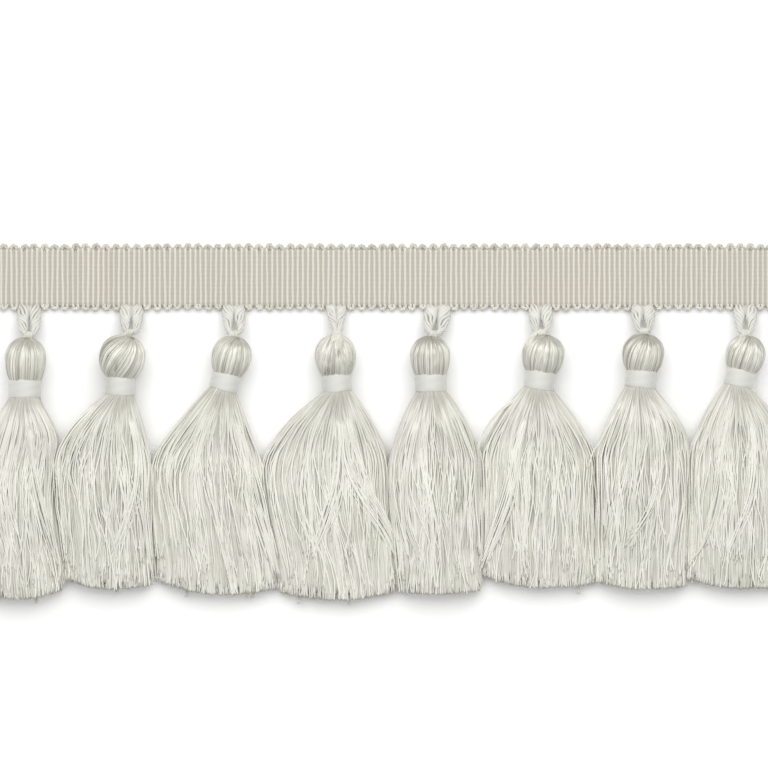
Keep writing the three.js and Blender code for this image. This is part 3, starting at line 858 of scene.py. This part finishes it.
class FRINGE_OT_floss_heads(bpy.types.Operator):
    """Build the tassels' round heads of drawn floss"""

    bl_idname = "fringe.floss_heads"
    bl_label = "Floss Heads"

    def execute(self, context):
        finish = floss_material()
        for i, t in enumerate(TASSELS):
            self.head(context.scene.fringe_tassels, finish, i, t)
        return {"FINISHED"}

    def draped(self, t, pole, swirl, phi, rng):
        """Directions over the ball from the gathering point to the neck's rim, one line for
        each place phi round the rim. Each follows the great circle between the two, turned
        about the gathering point by the swirl."""
        steps = 15
        end = rim_direction(t, phi)
        arc = np.arccos(np.clip(end @ pole, -1, 1))[:, None, None]
        s = np.linspace(0, 1, steps)
        start = rng.uniform(0.03, 0.1, (len(phi), 1))
        w = (start + (1 - start) * s)[..., None]
        path = (np.sin((1 - w) * arc) * pole + np.sin(w * arc) * end[:, None, :]) / np.sin(arc)
        turned = swirl * (1 - s) * np.ones((len(phi), 1)) * np.sin(np.pi * s) ** 0.5
        return units(turn_about(path, pole, turned))

    def threads(self, i, t, rng, pole, swirl, crown_painted_shade, phi, depth, thickness):
        """Round threads along draped lines, at a depth that is a share of the ball's size,
        with their tone and their painted shade. Two last points run on into the
        neck, under the band."""
        count = len(phi)
        path = self.draped(t, pole, swirl, phi, rng)
        depth = depth[:, None] * np.ones(path.shape[1])
        points = on_ball(t, path, depth[..., None])
        hollow = np.zeros(depth.shape)
        for tassel, x, y, half_x, half_y, sink in HOLLOWS:
            if tassel == i:
                off = ((points[..., 0] - x) / half_x) ** 2 + ((points[..., 1] - y) / half_y) ** 2
                here = np.exp(-off) * (path[..., 2] > 0)
                hollow = np.maximum(hollow, here)
                depth = depth - sink * here
        points = on_ball(t, path, depth[..., None])
        # Threads are finer near the gathering point, where they crowd.
        crowd = smooth((path @ pole - 0.7) / 0.3)
        radius = thickness * mix(1.0, 0.55, crowd) * rng.uniform(0.8, 1.2, (count, 1))
        down = lean_of(t)[0]
        tail = points[:, -1:, :] + down * np.array([0.5, 1.2])[None, :, None]
        middle = neck_middle(t) - down * (BAND_LENGTH / 2 - 0.6)
        tail = middle + (tail - middle) * np.array([0.93, 0.84])[None, :, None]
        points = np.concatenate([points, tail], axis=1)
        radius = np.concatenate([radius, radius[:, -1:], radius[:, -1:]], axis=1)
        points[..., 2] = np.maximum(points[..., 2], radius)
        bundle = per_bundle(count, rng)
        tone = 0.55 + 0.36 * rng.normal(0, 1, count) + 0.08 * bundle
        # Painted highlights: the tone rises and falls along each thread, as if kinks caught the
        # light unevenly.
        along = np.linspace(0, 1, points.shape[1])[None, :]
        painted_glints = np.sin(rng.uniform(14, 34, (count, 1)) * along + rng.uniform(0, 6.3, (count, 1)))
        tone = tone[:, None] + 0.35 * painted_glints * np.sin(np.pi * along)
        # Painted shade round the crown and at the foot, where the threads turn from the light
        # and are seen end on, with ragged edges, but less at the sides, which are left lighter.
        # The hollows get painted shade too. A few threads, chosen at random, are dull all along.
        high = path[..., 1] + 0.11 * rng.normal(0, 1, (count, 1))
        drawn = crown_painted_shade * smooth((high - 0.36) / 0.22) + 0.3 * smooth((-high - 0.15) / 0.35)
        drawn = drawn * (1 - 0.7 * smooth((np.abs(path[..., 0]) - 0.6) / 0.25))
        drawn = drawn + 0.9 * hollow + 0.7 * (rng.random((count, 1)) < 0.16)
        drawn = np.clip(np.concatenate([drawn, drawn[:, -1:], drawn[:, -1:]], axis=1), 0, 1)
        return toned(tubes(points, radius, hint=(0.31, 0.2, 0.93)), tone, drawn)

    def head(self, own, finish, i, t):
        """One head: threads drawn over the ball, a second layer where it has a fan, the fold
        over the loop, stems, and the core, painted dark as painted shade between the threads."""
        rng = np.random.default_rng(own.seed * 100 + i)
        count, thickness = 195, 0.18
        *towards, swirl, crown_painted_shade = GATHERS[i]
        pole = units(np.array(towards))
        share = (np.arange(count) + rng.uniform(-0.8, 0.8, count)) / count % 1.0
        phi = spread_round(t, pole, share)
        bundle = per_bundle(count, rng)
        depth = np.minimum(0.975 + 0.016 * rng.normal(0, 1, count) + 0.01 * bundle, 1.0)
        made = [self.threads(i, t, rng, pole, swirl, crown_painted_shade, phi, depth, thickness)]
        made += [self.fan(i, t, rng, *row[1:]) for row in FANS if row[0] == i]
        parts = [self.fold(t, rng)]
        parts += [self.stem(t, rng, *row[1:]) for row in STEMS if row[0] == i]
        for part in parts:
            made.append(toned(part, rng.uniform(0.1, 0.9, len(part[0]) // FLOSS_SIDES), 0.1))
        # Painted shade: the core is painted dull and dark where it shows between the threads.
        made.append(toned(self.core(t), 0.1, 0.8))
        put_floss("head", i, finish, made)

    def fan(self, i, t, rng, x, y, spread, count, swirl):
        """A second layer of threads, gathered where the plan's x and y lie on the front of
        the ball. Its outermost threads sink in among the first ones."""
        radius, crown, _, _ = ball_shape(t)
        place = np.array([(x - t["head_x"]) / radius, (y - t["head_y"]) / crown])
        pole = np.array([*place, (1 - place @ place) ** 0.5])
        phi = spread * np.linspace(-1, 1, count) + rng.normal(0, 0.03, count)
        depth = 0.995 - 0.06 * (phi / spread) ** 4 + 0.012 * rng.normal(0, 1, count)
        return self.threads(i, t, rng, pole, swirl, 0, phi, depth, 0.17)

    def core(self, t):
        """What shows between the threads: the ball again at 0.9 of its size, as rings round
        the tassel's axis that close at both ends, and run on as the neck."""
        down, across, _ = lean_of(t)
        polar = np.linspace(0.08, np.pi - ball_shape(t)[3], 14)[:, None]
        phi = np.linspace(0, FULL_TURN, 24, endpoint=False)[None, :]
        up = np.cos(polar) + 0 * phi
        unit = np.stack([np.sin(polar) * np.sin(phi), up, np.sin(polar) * np.cos(phi)], axis=-1)
        ring = np.sin(phi.T) * across + np.cos(phi.T) * UP
        neck, radius = neck_middle(t), t["neck_radius"] - 0.55
        tail = np.stack([neck + down * along + radius * ring for along in (-1.5, 2.6)])
        rings = np.concatenate([on_ball(t, unit, 0.9), tail])
        rings[..., 2] = np.maximum(rings[..., 2], 0.05)
        return ringed(rings)

    def fold(self, t, rng):
        """The floss that passes over the loop's turn: each thread goes from the crown up
        over the cord, down through the eye and back to the crown behind it, on a circle
        about the turn whose ends run down the crown."""
        count, stations = 22, 15
        angle = np.linspace(-1.5, np.pi + 1.2, stations)[None, :]
        reach = 0.66 + rng.uniform(0, 0.24, (count, 1))
        place = np.linspace(-1, 1, count)[:, None]
        ends = np.minimum(angle, 0) + np.minimum(np.pi - angle, 0) * 1.4
        y = t["crown_y"] + FOLD_ABOVE_CROWN + reach * np.sin(angle) + ends
        z = axis_height(t) + reach * np.cos(angle) * 0.95
        from_top = np.abs(angle - np.pi / 2)
        spread = 0.62 + 0.55 * from_top**1.5 / 3
        x = t["hang_x"] + place * spread + rng.normal(0, 0.05, (count, 1))
        x = x + (t["head_x"] - t["hang_x"]) * np.clip(from_top / 2.8, 0, 1) ** 2
        radius = rng.uniform(0.13, 0.18, (count, 1))
        return tubes(np.stack([x, y, z], axis=-1), radius, hint=(1.0, 0.0, 0.0))

    def stem(self, t, rng, points, count, half_top, half_tip):
        """Threads side by side along a line in the plan. Each point is raised to just above
        the ball there, and past the crown to just above the turn of the loop."""
        steps = 14
        line = catmull_rom(np.array([(x, y, 0.0) for x, y in points]), steps)
        s = np.linspace(0, 1, steps)[None, :]
        at = s * rng.uniform(0.7, 1.0, (count, 1))
        x, y = (np.interp(at, s[0], line[:, k]) for k in (0, 1))
        x = x + np.linspace(-1, 1, count)[:, None] * mix(half_top, half_tip, at)
        radius, crown, _, _ = ball_shape(t)
        up = np.maximum(y - t["head_y"], 0) / crown
        inside = 1 - ((x - t["head_x"]) / radius) ** 2 - up**2
        over = radius * np.maximum(inside, 0) ** 0.5
        lift = rng.uniform(0.0, 0.15, (count, 1)) - 0.3 * s**4
        h = axis_height(t) + np.maximum(over + lift, 0.75)
        radius = rng.uniform(0.13, 0.17, (count, 1))
        return tubes(np.stack([x, y, h], axis=-1), radius, hint=(0.3, 0.1, 0.95))


class FRINGE_OT_neck_bands(bpy.types.Operator):
    """Build the satin bands wound round the tassels' necks"""

    bl_idname = "fringe.neck_bands"
    bl_label = "Neck Bands"

    def execute(self, context):
        finish = band_material()
        own = context.scene.fringe_bands
        for i, t in enumerate(TASSELS):
            self.band(own, finish, i, t)
        return {"FINISHED"}

    def band(self, own, finish, i, t):
        """A turned profile round the neck: the outside draws in a little at both ends, the
        lips are round, and the inside is a plain bore. Its two edges waver by a sum of three
        sines round the neck."""
        rng = np.random.default_rng(BAND_SEED + i)
        down, across, _ = lean_of(t)
        half = own.length / MM / 2
        sides, steps, wound = 72, 21, 0.35
        phi = np.linspace(0, FULL_TURN, sides, endpoint=False)[None, :]
        outside = np.linspace(-0.96, 0.96, steps)
        h = np.concatenate([[-0.9, -1.0, -1.0], outside, [1.0, 1.0, 0.9]])[:, None]
        lip = np.array([-0.75, -0.5, -0.1])
        out = np.concatenate([lip, np.zeros(steps), lip[::-1]])[:, None]
        flare = 0.03 - 0.15 * np.abs(h) ** 5
        a, b, c = rng.uniform(0, FULL_TURN, 3)
        waver = 0.1 * np.sin(phi + a) + 0.06 * np.sin(2 * phi + b) + 0.04 * np.sin(5 * phi + c)
        uneven = 0.04 * np.sin(2 * phi + b) + 0.02 * np.sin(7 * h + 3 * phi + c)
        r = t["neck_radius"] + out + flare + uneven
        # Seen from above, the edges bow away from the band's middle.
        bow = 0.12 * np.maximum(np.cos(phi), 0)
        place = h * (half + waver * np.abs(h)) + np.sign(h) * bow * np.abs(h) ** 3
        rings = (
            neck_middle(t)
            + (r * np.sin(phi))[..., None] * across
            + (r * np.cos(phi))[..., None] * UP
            + (place + 0 * phi)[..., None] * down
        )
        points, faces, fibre = ringed(rings)
        # The thread lies round the neck, one turn every 0.35 mm.
        winding = place / wound * FULL_TURN + phi
        number = i + 1
        put_piece("satin_band_%d" % number, (points, faces, fibre[:, ::-1]), finish, "neck_band",
                  ["wrap_%d" % number], winding=winding)


def band_edge(t):
    """The point of a tassel's axis where its skirt comes out of the band."""
    return neck_middle(t) + lean_of(t)[0] * (BAND_LENGTH / 2 - LIP_COVERED)


def skirt_sides(t, share):
    """The left and right of a skirt at a share of its length. Out of the neck a side blooms
    by 1 - (1 - share / bloom) to its power, and past its widest it eases to the cut end."""
    lip = band_edge(t)[0]
    rim = t["neck_radius"] - RIM_INSET
    *power, shoulder = t["bloom"]
    sides = []
    for side, sign in (("left", -1), ("right", 1)):
        widest, hem = t["mid_" + side], t["hem_" + side]
        opened = 1 - (1 - np.clip(share / BLOOM_END, 0, 1)) ** power[sign > 0]
        settled = mix(widest, hem, smooth((share - BLOOM_END) / (1 - BLOOM_END)))
        sides.append(np.where(share < BLOOM_END, mix(lip + sign * rim, widest, opened), settled))
    stands_out = np.exp(-(((share - 0.2) / 0.12) ** 2)) * smooth(share / 0.1)
    sides[1] = sides[1] + shoulder * stands_out
    return sides


def side_limit(t, c, share):
    """How far out a skirt's side stands, as a share of its half width. From the place where
    two skirts meet, each leans a little into the other."""
    meets = np.where(c < 0, t is not TASSELS[0], t is not TASSELS[-1])
    return mix(0.985, 1.06, smooth((share - 0.2) / 0.2) * meets)


def skirt_thickness(t):
    """How thick a skirt is where it is widest: its section over its width, up to a limit."""
    return min(SKIRT_HIGHEST, SKIRT_SECTION / (t["mid_right"] - t["mid_left"]))


def skirt_heights(t, share, rim):
    """A skirt's section at a share of its length, seen from the side: the height of its
    middle, and how far its top and its underside stand from there. All ease from the round
    neck, with the given rim, to the flat skirt, which thins towards the hem."""
    thins = smooth((share - BLOOM_END) / (1 - BLOOM_END))
    thick = skirt_thickness(t) * mix(1, HEM_HEIGHT_SHARE, thins)
    top, under = TOP_SHARE * thick, (1 - TOP_SHARE) * thick
    blend = smooth(share / ROUND_UNTIL)
    middle = mix(axis_height(t), under, smooth(share / 0.3))
    return middle, mix(rim, top, blend), mix(rim, under, blend)


def section(angle):
    """A squarish ellipse of half size 1: each of cosine and sine keeps its sign and is
    raised to 2 / power."""
    c, s = np.cos(angle), np.sin(angle)
    power = 2 / SECTION_POWER
    return np.sign(c) * np.abs(c) ** power, np.sign(s) * np.abs(s) ** power


def skirt_section(theta, share):
    """A place round a skirt's section, of half size 1: a circle at the neck that turns
    squarish as the skirt opens."""
    blend = smooth(share / ROUND_UNTIL)
    c, z = section(theta)
    return mix(np.cos(theta), c, blend), mix(np.sin(theta), z, blend)


def hem_at(t, place):
    """Where the cut end is in the plan, at a place from -1 to 1 across the skirt: it goes
    from its middle to its side by the place to the power 1.6."""
    side = np.where(place < 0, t["drop_left"], t["drop_right"])
    return mix(t["drop_middle"], side, np.abs(place) ** 1.6)


def section_angles(t, count, rng):
    """Angles that space threads evenly round a skirt's section. The outline is sampled,
    its running length found, and even steps of it are turned back into angles."""
    a = np.linspace(0, FULL_TURN, 721)
    x, z = section(a)
    x = x * (t["mid_right"] - t["mid_left"]) / 2
    z = np.where(z > 0, 0.6, 0.4) * skirt_thickness(t) * z
    run = run_along(np.stack([x, z], axis=-1))
    steps = (np.arange(count) + rng.uniform(-0.5, 0.5, count)) / count
    return np.interp(steps % 1.0, run / run[-1], a)


def curl(rng, count, s, size):
    """How far each thread's end curls sideways: it grows over the last tenth of the thread
    by the square of the way along it."""
    return rng.normal(0, size, (count, 1)) * np.clip((s - 0.9) / 0.1, 0, 1) ** 2


# The layers of threads in every skirt, from the inside out. arc is the part of the section
# that a layer fills, in half turns from the right over the top. depth is its share of the
# section's size. ends is how far along its locks are cut, and how much that differs between
# locks and between threads. clump is how far the threads of a lock draw together at their
# tips, drift how far locks and threads wander round the section, sway the size of their slow
# waves in mm, tone their mean tone and its scatter, and thick their share of the radius.
SIDE_LAYER = dict(count=30, steps=14, depth=(0.97, 1.06), ends=(0.98, 0.02, 0.01), lock_size=4,
                  clump=0.3, drift=(0.03, 0.03), sway=0.6, tone=(0.55, 0.15), thick=1.0)
LAYERS = (
    # The smooth ground, cut clean at the hem.
    dict(count=150, steps=13, arc=(0, 1), depth=(0.93, 0.975), ends=(0.998, 0.0015, 0.001),
         lock_size=6, clump=0.1, drift=(0.02, 0.012), sway=0.35, tone=(0.5, 0.16), thick=0.85),
    # Locks with pointed tips.
    dict(count=110, steps=21, arc=(-0.04, 1.04), depth=(0.965, 1.01), ends=(0.9, 0.09, 0.015),
         lock_size=9, clump=0.8, drift=(0.1, 0.035), sway=1.3, tone=(0.75, 0.28), thick=0.95),
    # Long bright single threads.
    dict(count=44, steps=22, arc=(0.02, 0.98), depth=(1.0, 1.05), ends=(0.92, 0.07, 0.02),
         lock_size=2, clump=0.0, drift=(0.1, 0.09), sway=1.4, tone=(1.25, 0.12), thick=0.9),
    # Threads low at both sides, towards the next tassels.
    dict(SIDE_LAYER, arc=(-0.3, 0.06)),
    dict(SIDE_LAYER, arc=(0.94, 1.3)),
    # The underside.
    dict(count=70, steps=12, arc=(1.05, 1.95), depth=(0.9, 1.0), ends=(0.99, 0.01, 0.005),
         lock_size=5, clump=0.2, drift=(0.03, 0.02), sway=0.6, tone=(0.5, 0.15), thick=1.0),
)

# The slow waves of a skirt's threads: how many along the skirt, and their share of the sway
# for a whole lock and for each thread by itself.
WAVES = ((0.9, 0.7, 0.3), (1.9, 0.3, 0.22), (4.2, 0.05, 0.08))


class FRINGE_OT_floss_skirts(bpy.types.Operator):
    """Build the tassels' skirts of loose floss"""

    bl_idname = "fringe.floss_skirts"
    bl_label = "Floss Skirts"

    def execute(self, context):
        finish = floss_material()
        for i, t in enumerate(TASSELS):
            self.skirt(context.scene.fringe_tassels, finish, i, t)
        return {"FINISHED"}

    def skirt(self, own, finish, i, t):
        """One skirt: its layers, crossing bunches, stray ends, cut end and core."""
        rng = np.random.default_rng(own.seed * 1000 + i)
        made = [self.threads(t, own, rng, **layer) for layer in LAYERS]
        made += [self.sweep(t, own, rng, *row[1:]) for row in SWEEPS if row[0] == i]
        made += [self.stray(rng, x, y) for tassel, x, y in STRAYS if tassel == i]
        made += [self.cut_ends(t, rng), toned(self.core(t), 0.6, 0.0)]
        put_floss("skirt", i, finish, made)

    def threads(self, t, own, rng, count, steps, arc, depth, ends, lock_size, clump, drift, sway,
                tone, thick):
        """One layer of threads, as LAYERS says. Each thread keeps its place round the section
        while the section runs down the skirt, and the drift, the clump and the waves move
        it from there."""
        down, across, _ = lean_of(t)
        low, high = arc[0] * np.pi, arc[1] * np.pi
        every = low + (section_angles(t, 8 * count, rng) - low) % FULL_TURN
        every = np.sort(rng.permutation(every[every < high])[:count])
        n = len(every)
        lock = np.arange(n) // lock_size
        locks = lock[-1] + 1
        lock_angle = np.array([every[lock == k].mean() for k in range(locks)])[lock]
        # Where a thread lies in its lock, from -1 to 1.
        beside = 2 * (np.arange(n) % lock_size + 0.5) / lock_size - 1
        s = np.concatenate([np.linspace(0, 0.965, steps - 2) ** 1.15, [0.99, 1.0]])[None, :]
        end = rng.normal(ends[0], ends[1], locks)[lock] + rng.normal(0, ends[2], n)
        end = np.clip(end, 0.6, max(ends[0], 1.0)) - 0.08 * clump * np.abs(beside)
        theta = every[:, None] + (lock_angle - every)[:, None] * clump * smooth(s * 1.1) ** 1.5
        theta = theta + rng.normal(0, drift[0], locks)[lock][:, None] * s
        theta = theta + rng.normal(0, drift[1], n)[:, None] * s
        rho = rng.uniform(depth[0], depth[1], n)[:, None]
        rho = rho + 0.035 * clump * (1 - beside[:, None] ** 2) * smooth(2 * s)

        share = s * end[:, None]
        lip, rim = band_edge(t), t["neck_radius"] - RIM_INSET
        left, right = skirt_sides(t, share)
        c, z = skirt_section(theta, share)
        middle, top, under = skirt_heights(t, share, rim)
        hem = hem_at(t, np.clip(rho * c, -1, 1))[:, -1:] + rng.normal(0, 0.12, (n, 1))
        x = (left + right) / 2 + np.minimum(rho, side_limit(t, c, share)) * c * (right - left) / 2
        y = mix(lip[1], hem, share) + rho * c * rim * across[1] * (1 - smooth(share / ROUND_UNTIL))
        h = middle + rho * z * np.where(z > 0, top, under)
        # Slow waves sideways that grow out of the neck, most of them shared by a lock.
        grow = smooth(share / 0.35) * (1 - 0.7 * c**4)
        for waves, of_lock, of_thread in WAVES:
            turned = FULL_TURN * waves * share
            lock_wave = np.sin(turned + rng.uniform(0, FULL_TURN, locks)[lock][:, None])
            phase = rng.uniform(0, FULL_TURN, (n, 1))
            own_wave = np.sin(1.13 * turned + phase)
            x = x + sway * grow * (of_lock * lock_wave + of_thread * own_wave)
            h = h + 0.3 * sway * grow * of_thread * np.sin(0.9 * turned + phase + 1)
        x = x + curl(rng, n, s, 0.35)
        radius = own.thread_radius / MM * thick * rng.uniform(0.8, 1.15, (n, 1))
        radius = radius * np.where(s > 0.995, 0.6, 1.0)
        path = np.stack([x, y, np.maximum(h, radius)], axis=-1)
        # A first point inside the band, so that no root shows.
        inner = lip + 0.82 * (path[:, :1] - lip) - down * 1.2
        path = np.concatenate([inner, path], axis=1)
        radius = np.concatenate([radius[:, :1], radius], axis=1)
        tint = tone[0] + tone[1] * rng.normal(0, 1, n) + 0.12 * rng.normal(0, 1, locks)[lock]
        # Painted shade just under the band, where the floss rises from it, most of all in the
        # middle, with a ragged edge, and milder painted shade down the upper part of the skirt.
        reach = 0.14 * (1 - 0.6 * np.abs(c)) + 0.03 * rng.normal(0, 1, (n, 1))
        drawn = 0.45 * smooth((reach - share) / 0.05) + 0.25 * smooth((0.45 - share) / 0.35)
        # At the cut end: painted shade, together with the dull look of the cut fibre ends.
        drawn = drawn + 0.8 * (share > 0.992) * (s > 0.995)
        drawn = np.concatenate([drawn[:, :1], drawn], axis=1)
        return toned(tubes(path, radius, hint=ACROSS_SKIRT), tint, drawn)

    def over_skirt(self, t, x, y):
        """The height of the skirt's upper side over a point of the plan. Past the skirt's
        own sides the height at 0.88 of its half width is kept."""
        lip = band_edge(t)[1]
        share = np.clip((lip - y) / (lip - t["drop_middle"]), 0, 1)
        left, right = skirt_sides(t, share)
        c = np.clip(np.abs(2 * x - left - right) / (right - left), 0, 0.88)
        middle, top, _ = skirt_heights(t, share, t["neck_radius"] - RIM_INSET)
        squarish = (1 - c**SECTION_POWER) ** (1 / SECTION_POWER)
        return middle + top * mix((1 - c**2) ** 0.5, squarish, smooth(share / ROUND_UNTIL))

    def sweep(self, t, own, rng, points, count, half_width, half_tip):
        """A bunch of threads laid over the skirt along a smooth line. It is narrow at the
        neck, widest past its middle, and draws in to its tip, where its middle threads are
        the longest. It rises out of the skirt, and its tip dips in again."""
        steps = 24
        line = catmull_rom(np.array([(x, y, 0.0) for x, y in points]), steps)
        s = np.linspace(0, 1, steps)[None, :]
        beside = np.linspace(-1, 1, count)[:, None] + rng.normal(0, 0.1, (count, 1))
        at = s * (1 - 0.09 * np.abs(beside) - rng.uniform(0, 0.06, (count, 1)))
        x, y = (np.interp(at, s[0], line[:, k]) for k in (0, 1))
        width = mix(0.4, half_width, smooth(at / 0.6))
        width = width - (half_width - half_tip) * smooth((at - 0.6) / 0.4)
        wave = np.sin(FULL_TURN * 1.3 * at + rng.uniform(0, 6.3, (count, 1)))
        x = x + width * (beside + 0.25 * wave)
        rise = rng.uniform(0.0, 0.3, (count, 1)) + 0.3 * (1 - np.clip(beside, -1, 1) ** 2)
        h = self.over_skirt(t, x, y) - 0.5 + (0.5 + rise) * smooth(at / 0.25)
        h = h - 0.7 * smooth((at - 0.75) / 0.25)
        x = x + curl(rng, count, s, 0.3)
        radius = own.thread_radius / MM * rng.uniform(0.8, 1.05, (count, 1))
        radius = radius * np.where(s > 0.995, 0.5, 1.0)
        made = tubes(np.stack([x, y, h], axis=-1), radius, hint=ACROSS_SKIRT)
        tint = 0.95 + 0.2 * rng.normal(0, 1, count)
        # Painted shade near the neck, as under the band.
        return toned(made, tint, smooth((0.16 - at) / 0.06))

    def stray(self, rng, x, y):
        """One thick thread end past the hem: it comes from under the skirt and curls a little."""
        s = np.linspace(0, 1, 7)
        lean = rng.uniform(-0.7, 0.7)
        across = x - lean * (1 - s) + 0.25 * np.sin(3.2 * s)
        path = np.stack([across, y + 3.2 * (1 - s), 1.6 + 0.8 * s], axis=-1)
        return toned(tubes(path[None], (0.5 - 0.08 * s)[None], sides=6), 0.5, 0.3)

    def place(self, t, theta, size, share):
        """A point of the skirt: theta round its section, at a share of the section's size
        and a share of the skirt's length."""
        left, right = skirt_sides(t, share)
        c, z = skirt_section(theta, share)
        middle, top, under = skirt_heights(t, share, t["neck_radius"] - RIM_INSET + 0.04)
        h = middle + size * z * np.where(z > 0, top, under)
        x = (left + right) / 2 + size * (side_limit(t, c, share) + 0.03) * c * (right - left) / 2
        y = mix(band_edge(t)[1], hem_at(t, size * c), share)
        return np.stack([x, y, np.maximum(h, 0.1)], axis=-1)

    def core(self, t):
        """The thick of the skirt, from just under the neck to short of the cut end."""
        share = np.linspace(0, 0.96, 22)[:, None]
        theta = np.linspace(0, FULL_TURN, 60, endpoint=False)[None, :]
        return ringed(self.place(t, theta, 0.92, share))

    def cut_ends(self, t, rng):
        """The cut end seen from below: short stubs spread over the section like the seeds of
        a sunflower, each 2.4 radians on from the last and the square root of its rank out."""
        count = 260
        rank = np.arange(count)[:, None] + 0.5
        root, tip = np.full((count, 1), 0.94), rng.uniform(0.982, 0.998, (count, 1))
        share = np.concatenate([root, tip], axis=1)
        path = self.place(t, 2.4 * rank + 0 * share, 0.93 * (rank / count) ** 0.5, share)
        radius = rng.uniform(0.28, 0.42, (count, 1)) * np.ones((1, 2))
        path[..., 2] = np.maximum(path[..., 2], radius)
        # The stubs are partly dulled: painted shade at the cut end, along with the cut fibres' own
        # dullness.
        return toned(tubes(path, radius, hint=ACROSS_SKIRT), rng.uniform(0.2, 1.0, count), 0.2)


class FRINGE_OT_stage(bpy.types.Operator):
    """Lay the floor and set the lights and the camera"""

    bl_idname = "fringe.stage"
    bl_label = "Stage"

    def execute(self, context):
        scene = context.scene
        own = scene.fringe_stage
        # A floor 6 m wide, a hair below the trim so that the two don't share a plane.
        reach, drop = 3.0, -0.00005
        corners = np.array([[-reach, -reach, drop], [reach, -reach, drop],
                            [reach, reach, drop], [-reach, reach, drop]])
        mesh = bpy.data.meshes.new("floor")
        mesh.from_pydata(corners.tolist(), [], [(0, 1, 2, 3)])
        floor = bpy.data.objects.new("floor", mesh)
        scene.collection.objects.link(floor)
        # Matt white card under everything.
        card, _, shader = new_material("floor_card", Roughness=0.9)
        shader.inputs["Base Color"].default_value = own.floor_colour
        mesh.materials.append(card)

        world = bpy.data.worlds.new("studio")
        world.use_nodes = True
        background = world.node_tree.nodes["Background"]
        background.inputs["Color"].default_value = (1, 1, 1, 1)
        background.inputs["Strength"].default_value = own.fill
        scene.world = world

        # A soft panel above the braid's far side, tipped towards the middle of the trim.
        light = bpy.data.lights.new("key", "AREA")
        light.shape = "RECTANGLE"
        light.size, light.size_y = 1.0, 0.7
        light.energy = own.key_power
        key = bpy.data.objects.new("key", light)
        scene.collection.objects.link(key)
        aim = np.array([0.0, -0.035, 0.0])
        place = np.array([0.0, 0.36, 0.62])
        key.location = place
        back = place - aim
        key.rotation_euler = (-math.atan2(back[1], back[2]), 0, 0)

        # A long lens straight above. At the height of the skirts, 4 mm up, the picture is
        # 192 mm wide: the distance is the lens times that width over the sensor's.
        picture_width, skirts_up = 192, 4
        lens = bpy.data.cameras.new("camera")
        lens.sensor_width = 36
        lens.lens = 350
        distance = lens.lens * picture_width / lens.sensor_width
        camera = bpy.data.objects.new("camera", lens)
        camera.location = (-0.8 * MM, -26.76 * MM, (distance + skirts_up) * MM)
        lens.clip_start, lens.clip_end = 0.05, 10
        scene.collection.objects.link(camera)
        scene.camera = camera
        scene.view_settings.view_transform = "Standard"
        return {"FINISHED"}


class FRINGE_PT_panel(bpy.types.Panel):
    """Lists the trim's pieces and their settings"""

    bl_idname = "FRINGE_PT_panel"
    bl_label = "Tassel Fringe"
    bl_space_type = "VIEW_3D"
    bl_region_type = "UI"
    bl_category = "Fringe"

    def draw(self, context):
        for operator in OPERATORS:
            self.layout.operator(operator.bl_idname)
        for name, group in SETTINGS.items():
            box = self.layout.box()
            for key in group.__annotations__:
                box.prop(getattr(context.scene, name), key)


OPERATORS = (
    FRINGE_OT_stage,
    FRINGE_OT_braid_heading,
    FRINGE_OT_hanger_loops,
    FRINGE_OT_floss_heads,
    FRINGE_OT_neck_bands,
    FRINGE_OT_floss_skirts,
)
CLASSES = (*SETTINGS.values(), *OPERATORS, FRINGE_PT_panel)


def register():
    """Adds the classes, and their settings to the scene."""
    for cls in CLASSES:
        bpy.utils.register_class(cls)
    for name, group in SETTINGS.items():
        setattr(bpy.types.Scene, name, bpy.props.PointerProperty(type=group))


def unregister():
    """Takes away what register adds, in the opposite order."""
    for name in SETTINGS:
        delattr(bpy.types.Scene, name)
    for cls in reversed(CLASSES):
        bpy.utils.unregister_class(cls)


def main():
    """Builds the stage and the pieces."""
    register()
    bpy.ops.fringe.stage()
    bpy.ops.fringe.braid_heading()
    bpy.ops.fringe.hanger_loops()
    bpy.ops.fringe.floss_heads()
    bpy.ops.fringe.neck_bands()
    bpy.ops.fringe.floss_skirts()


if __name__ == "__main__":
    main()
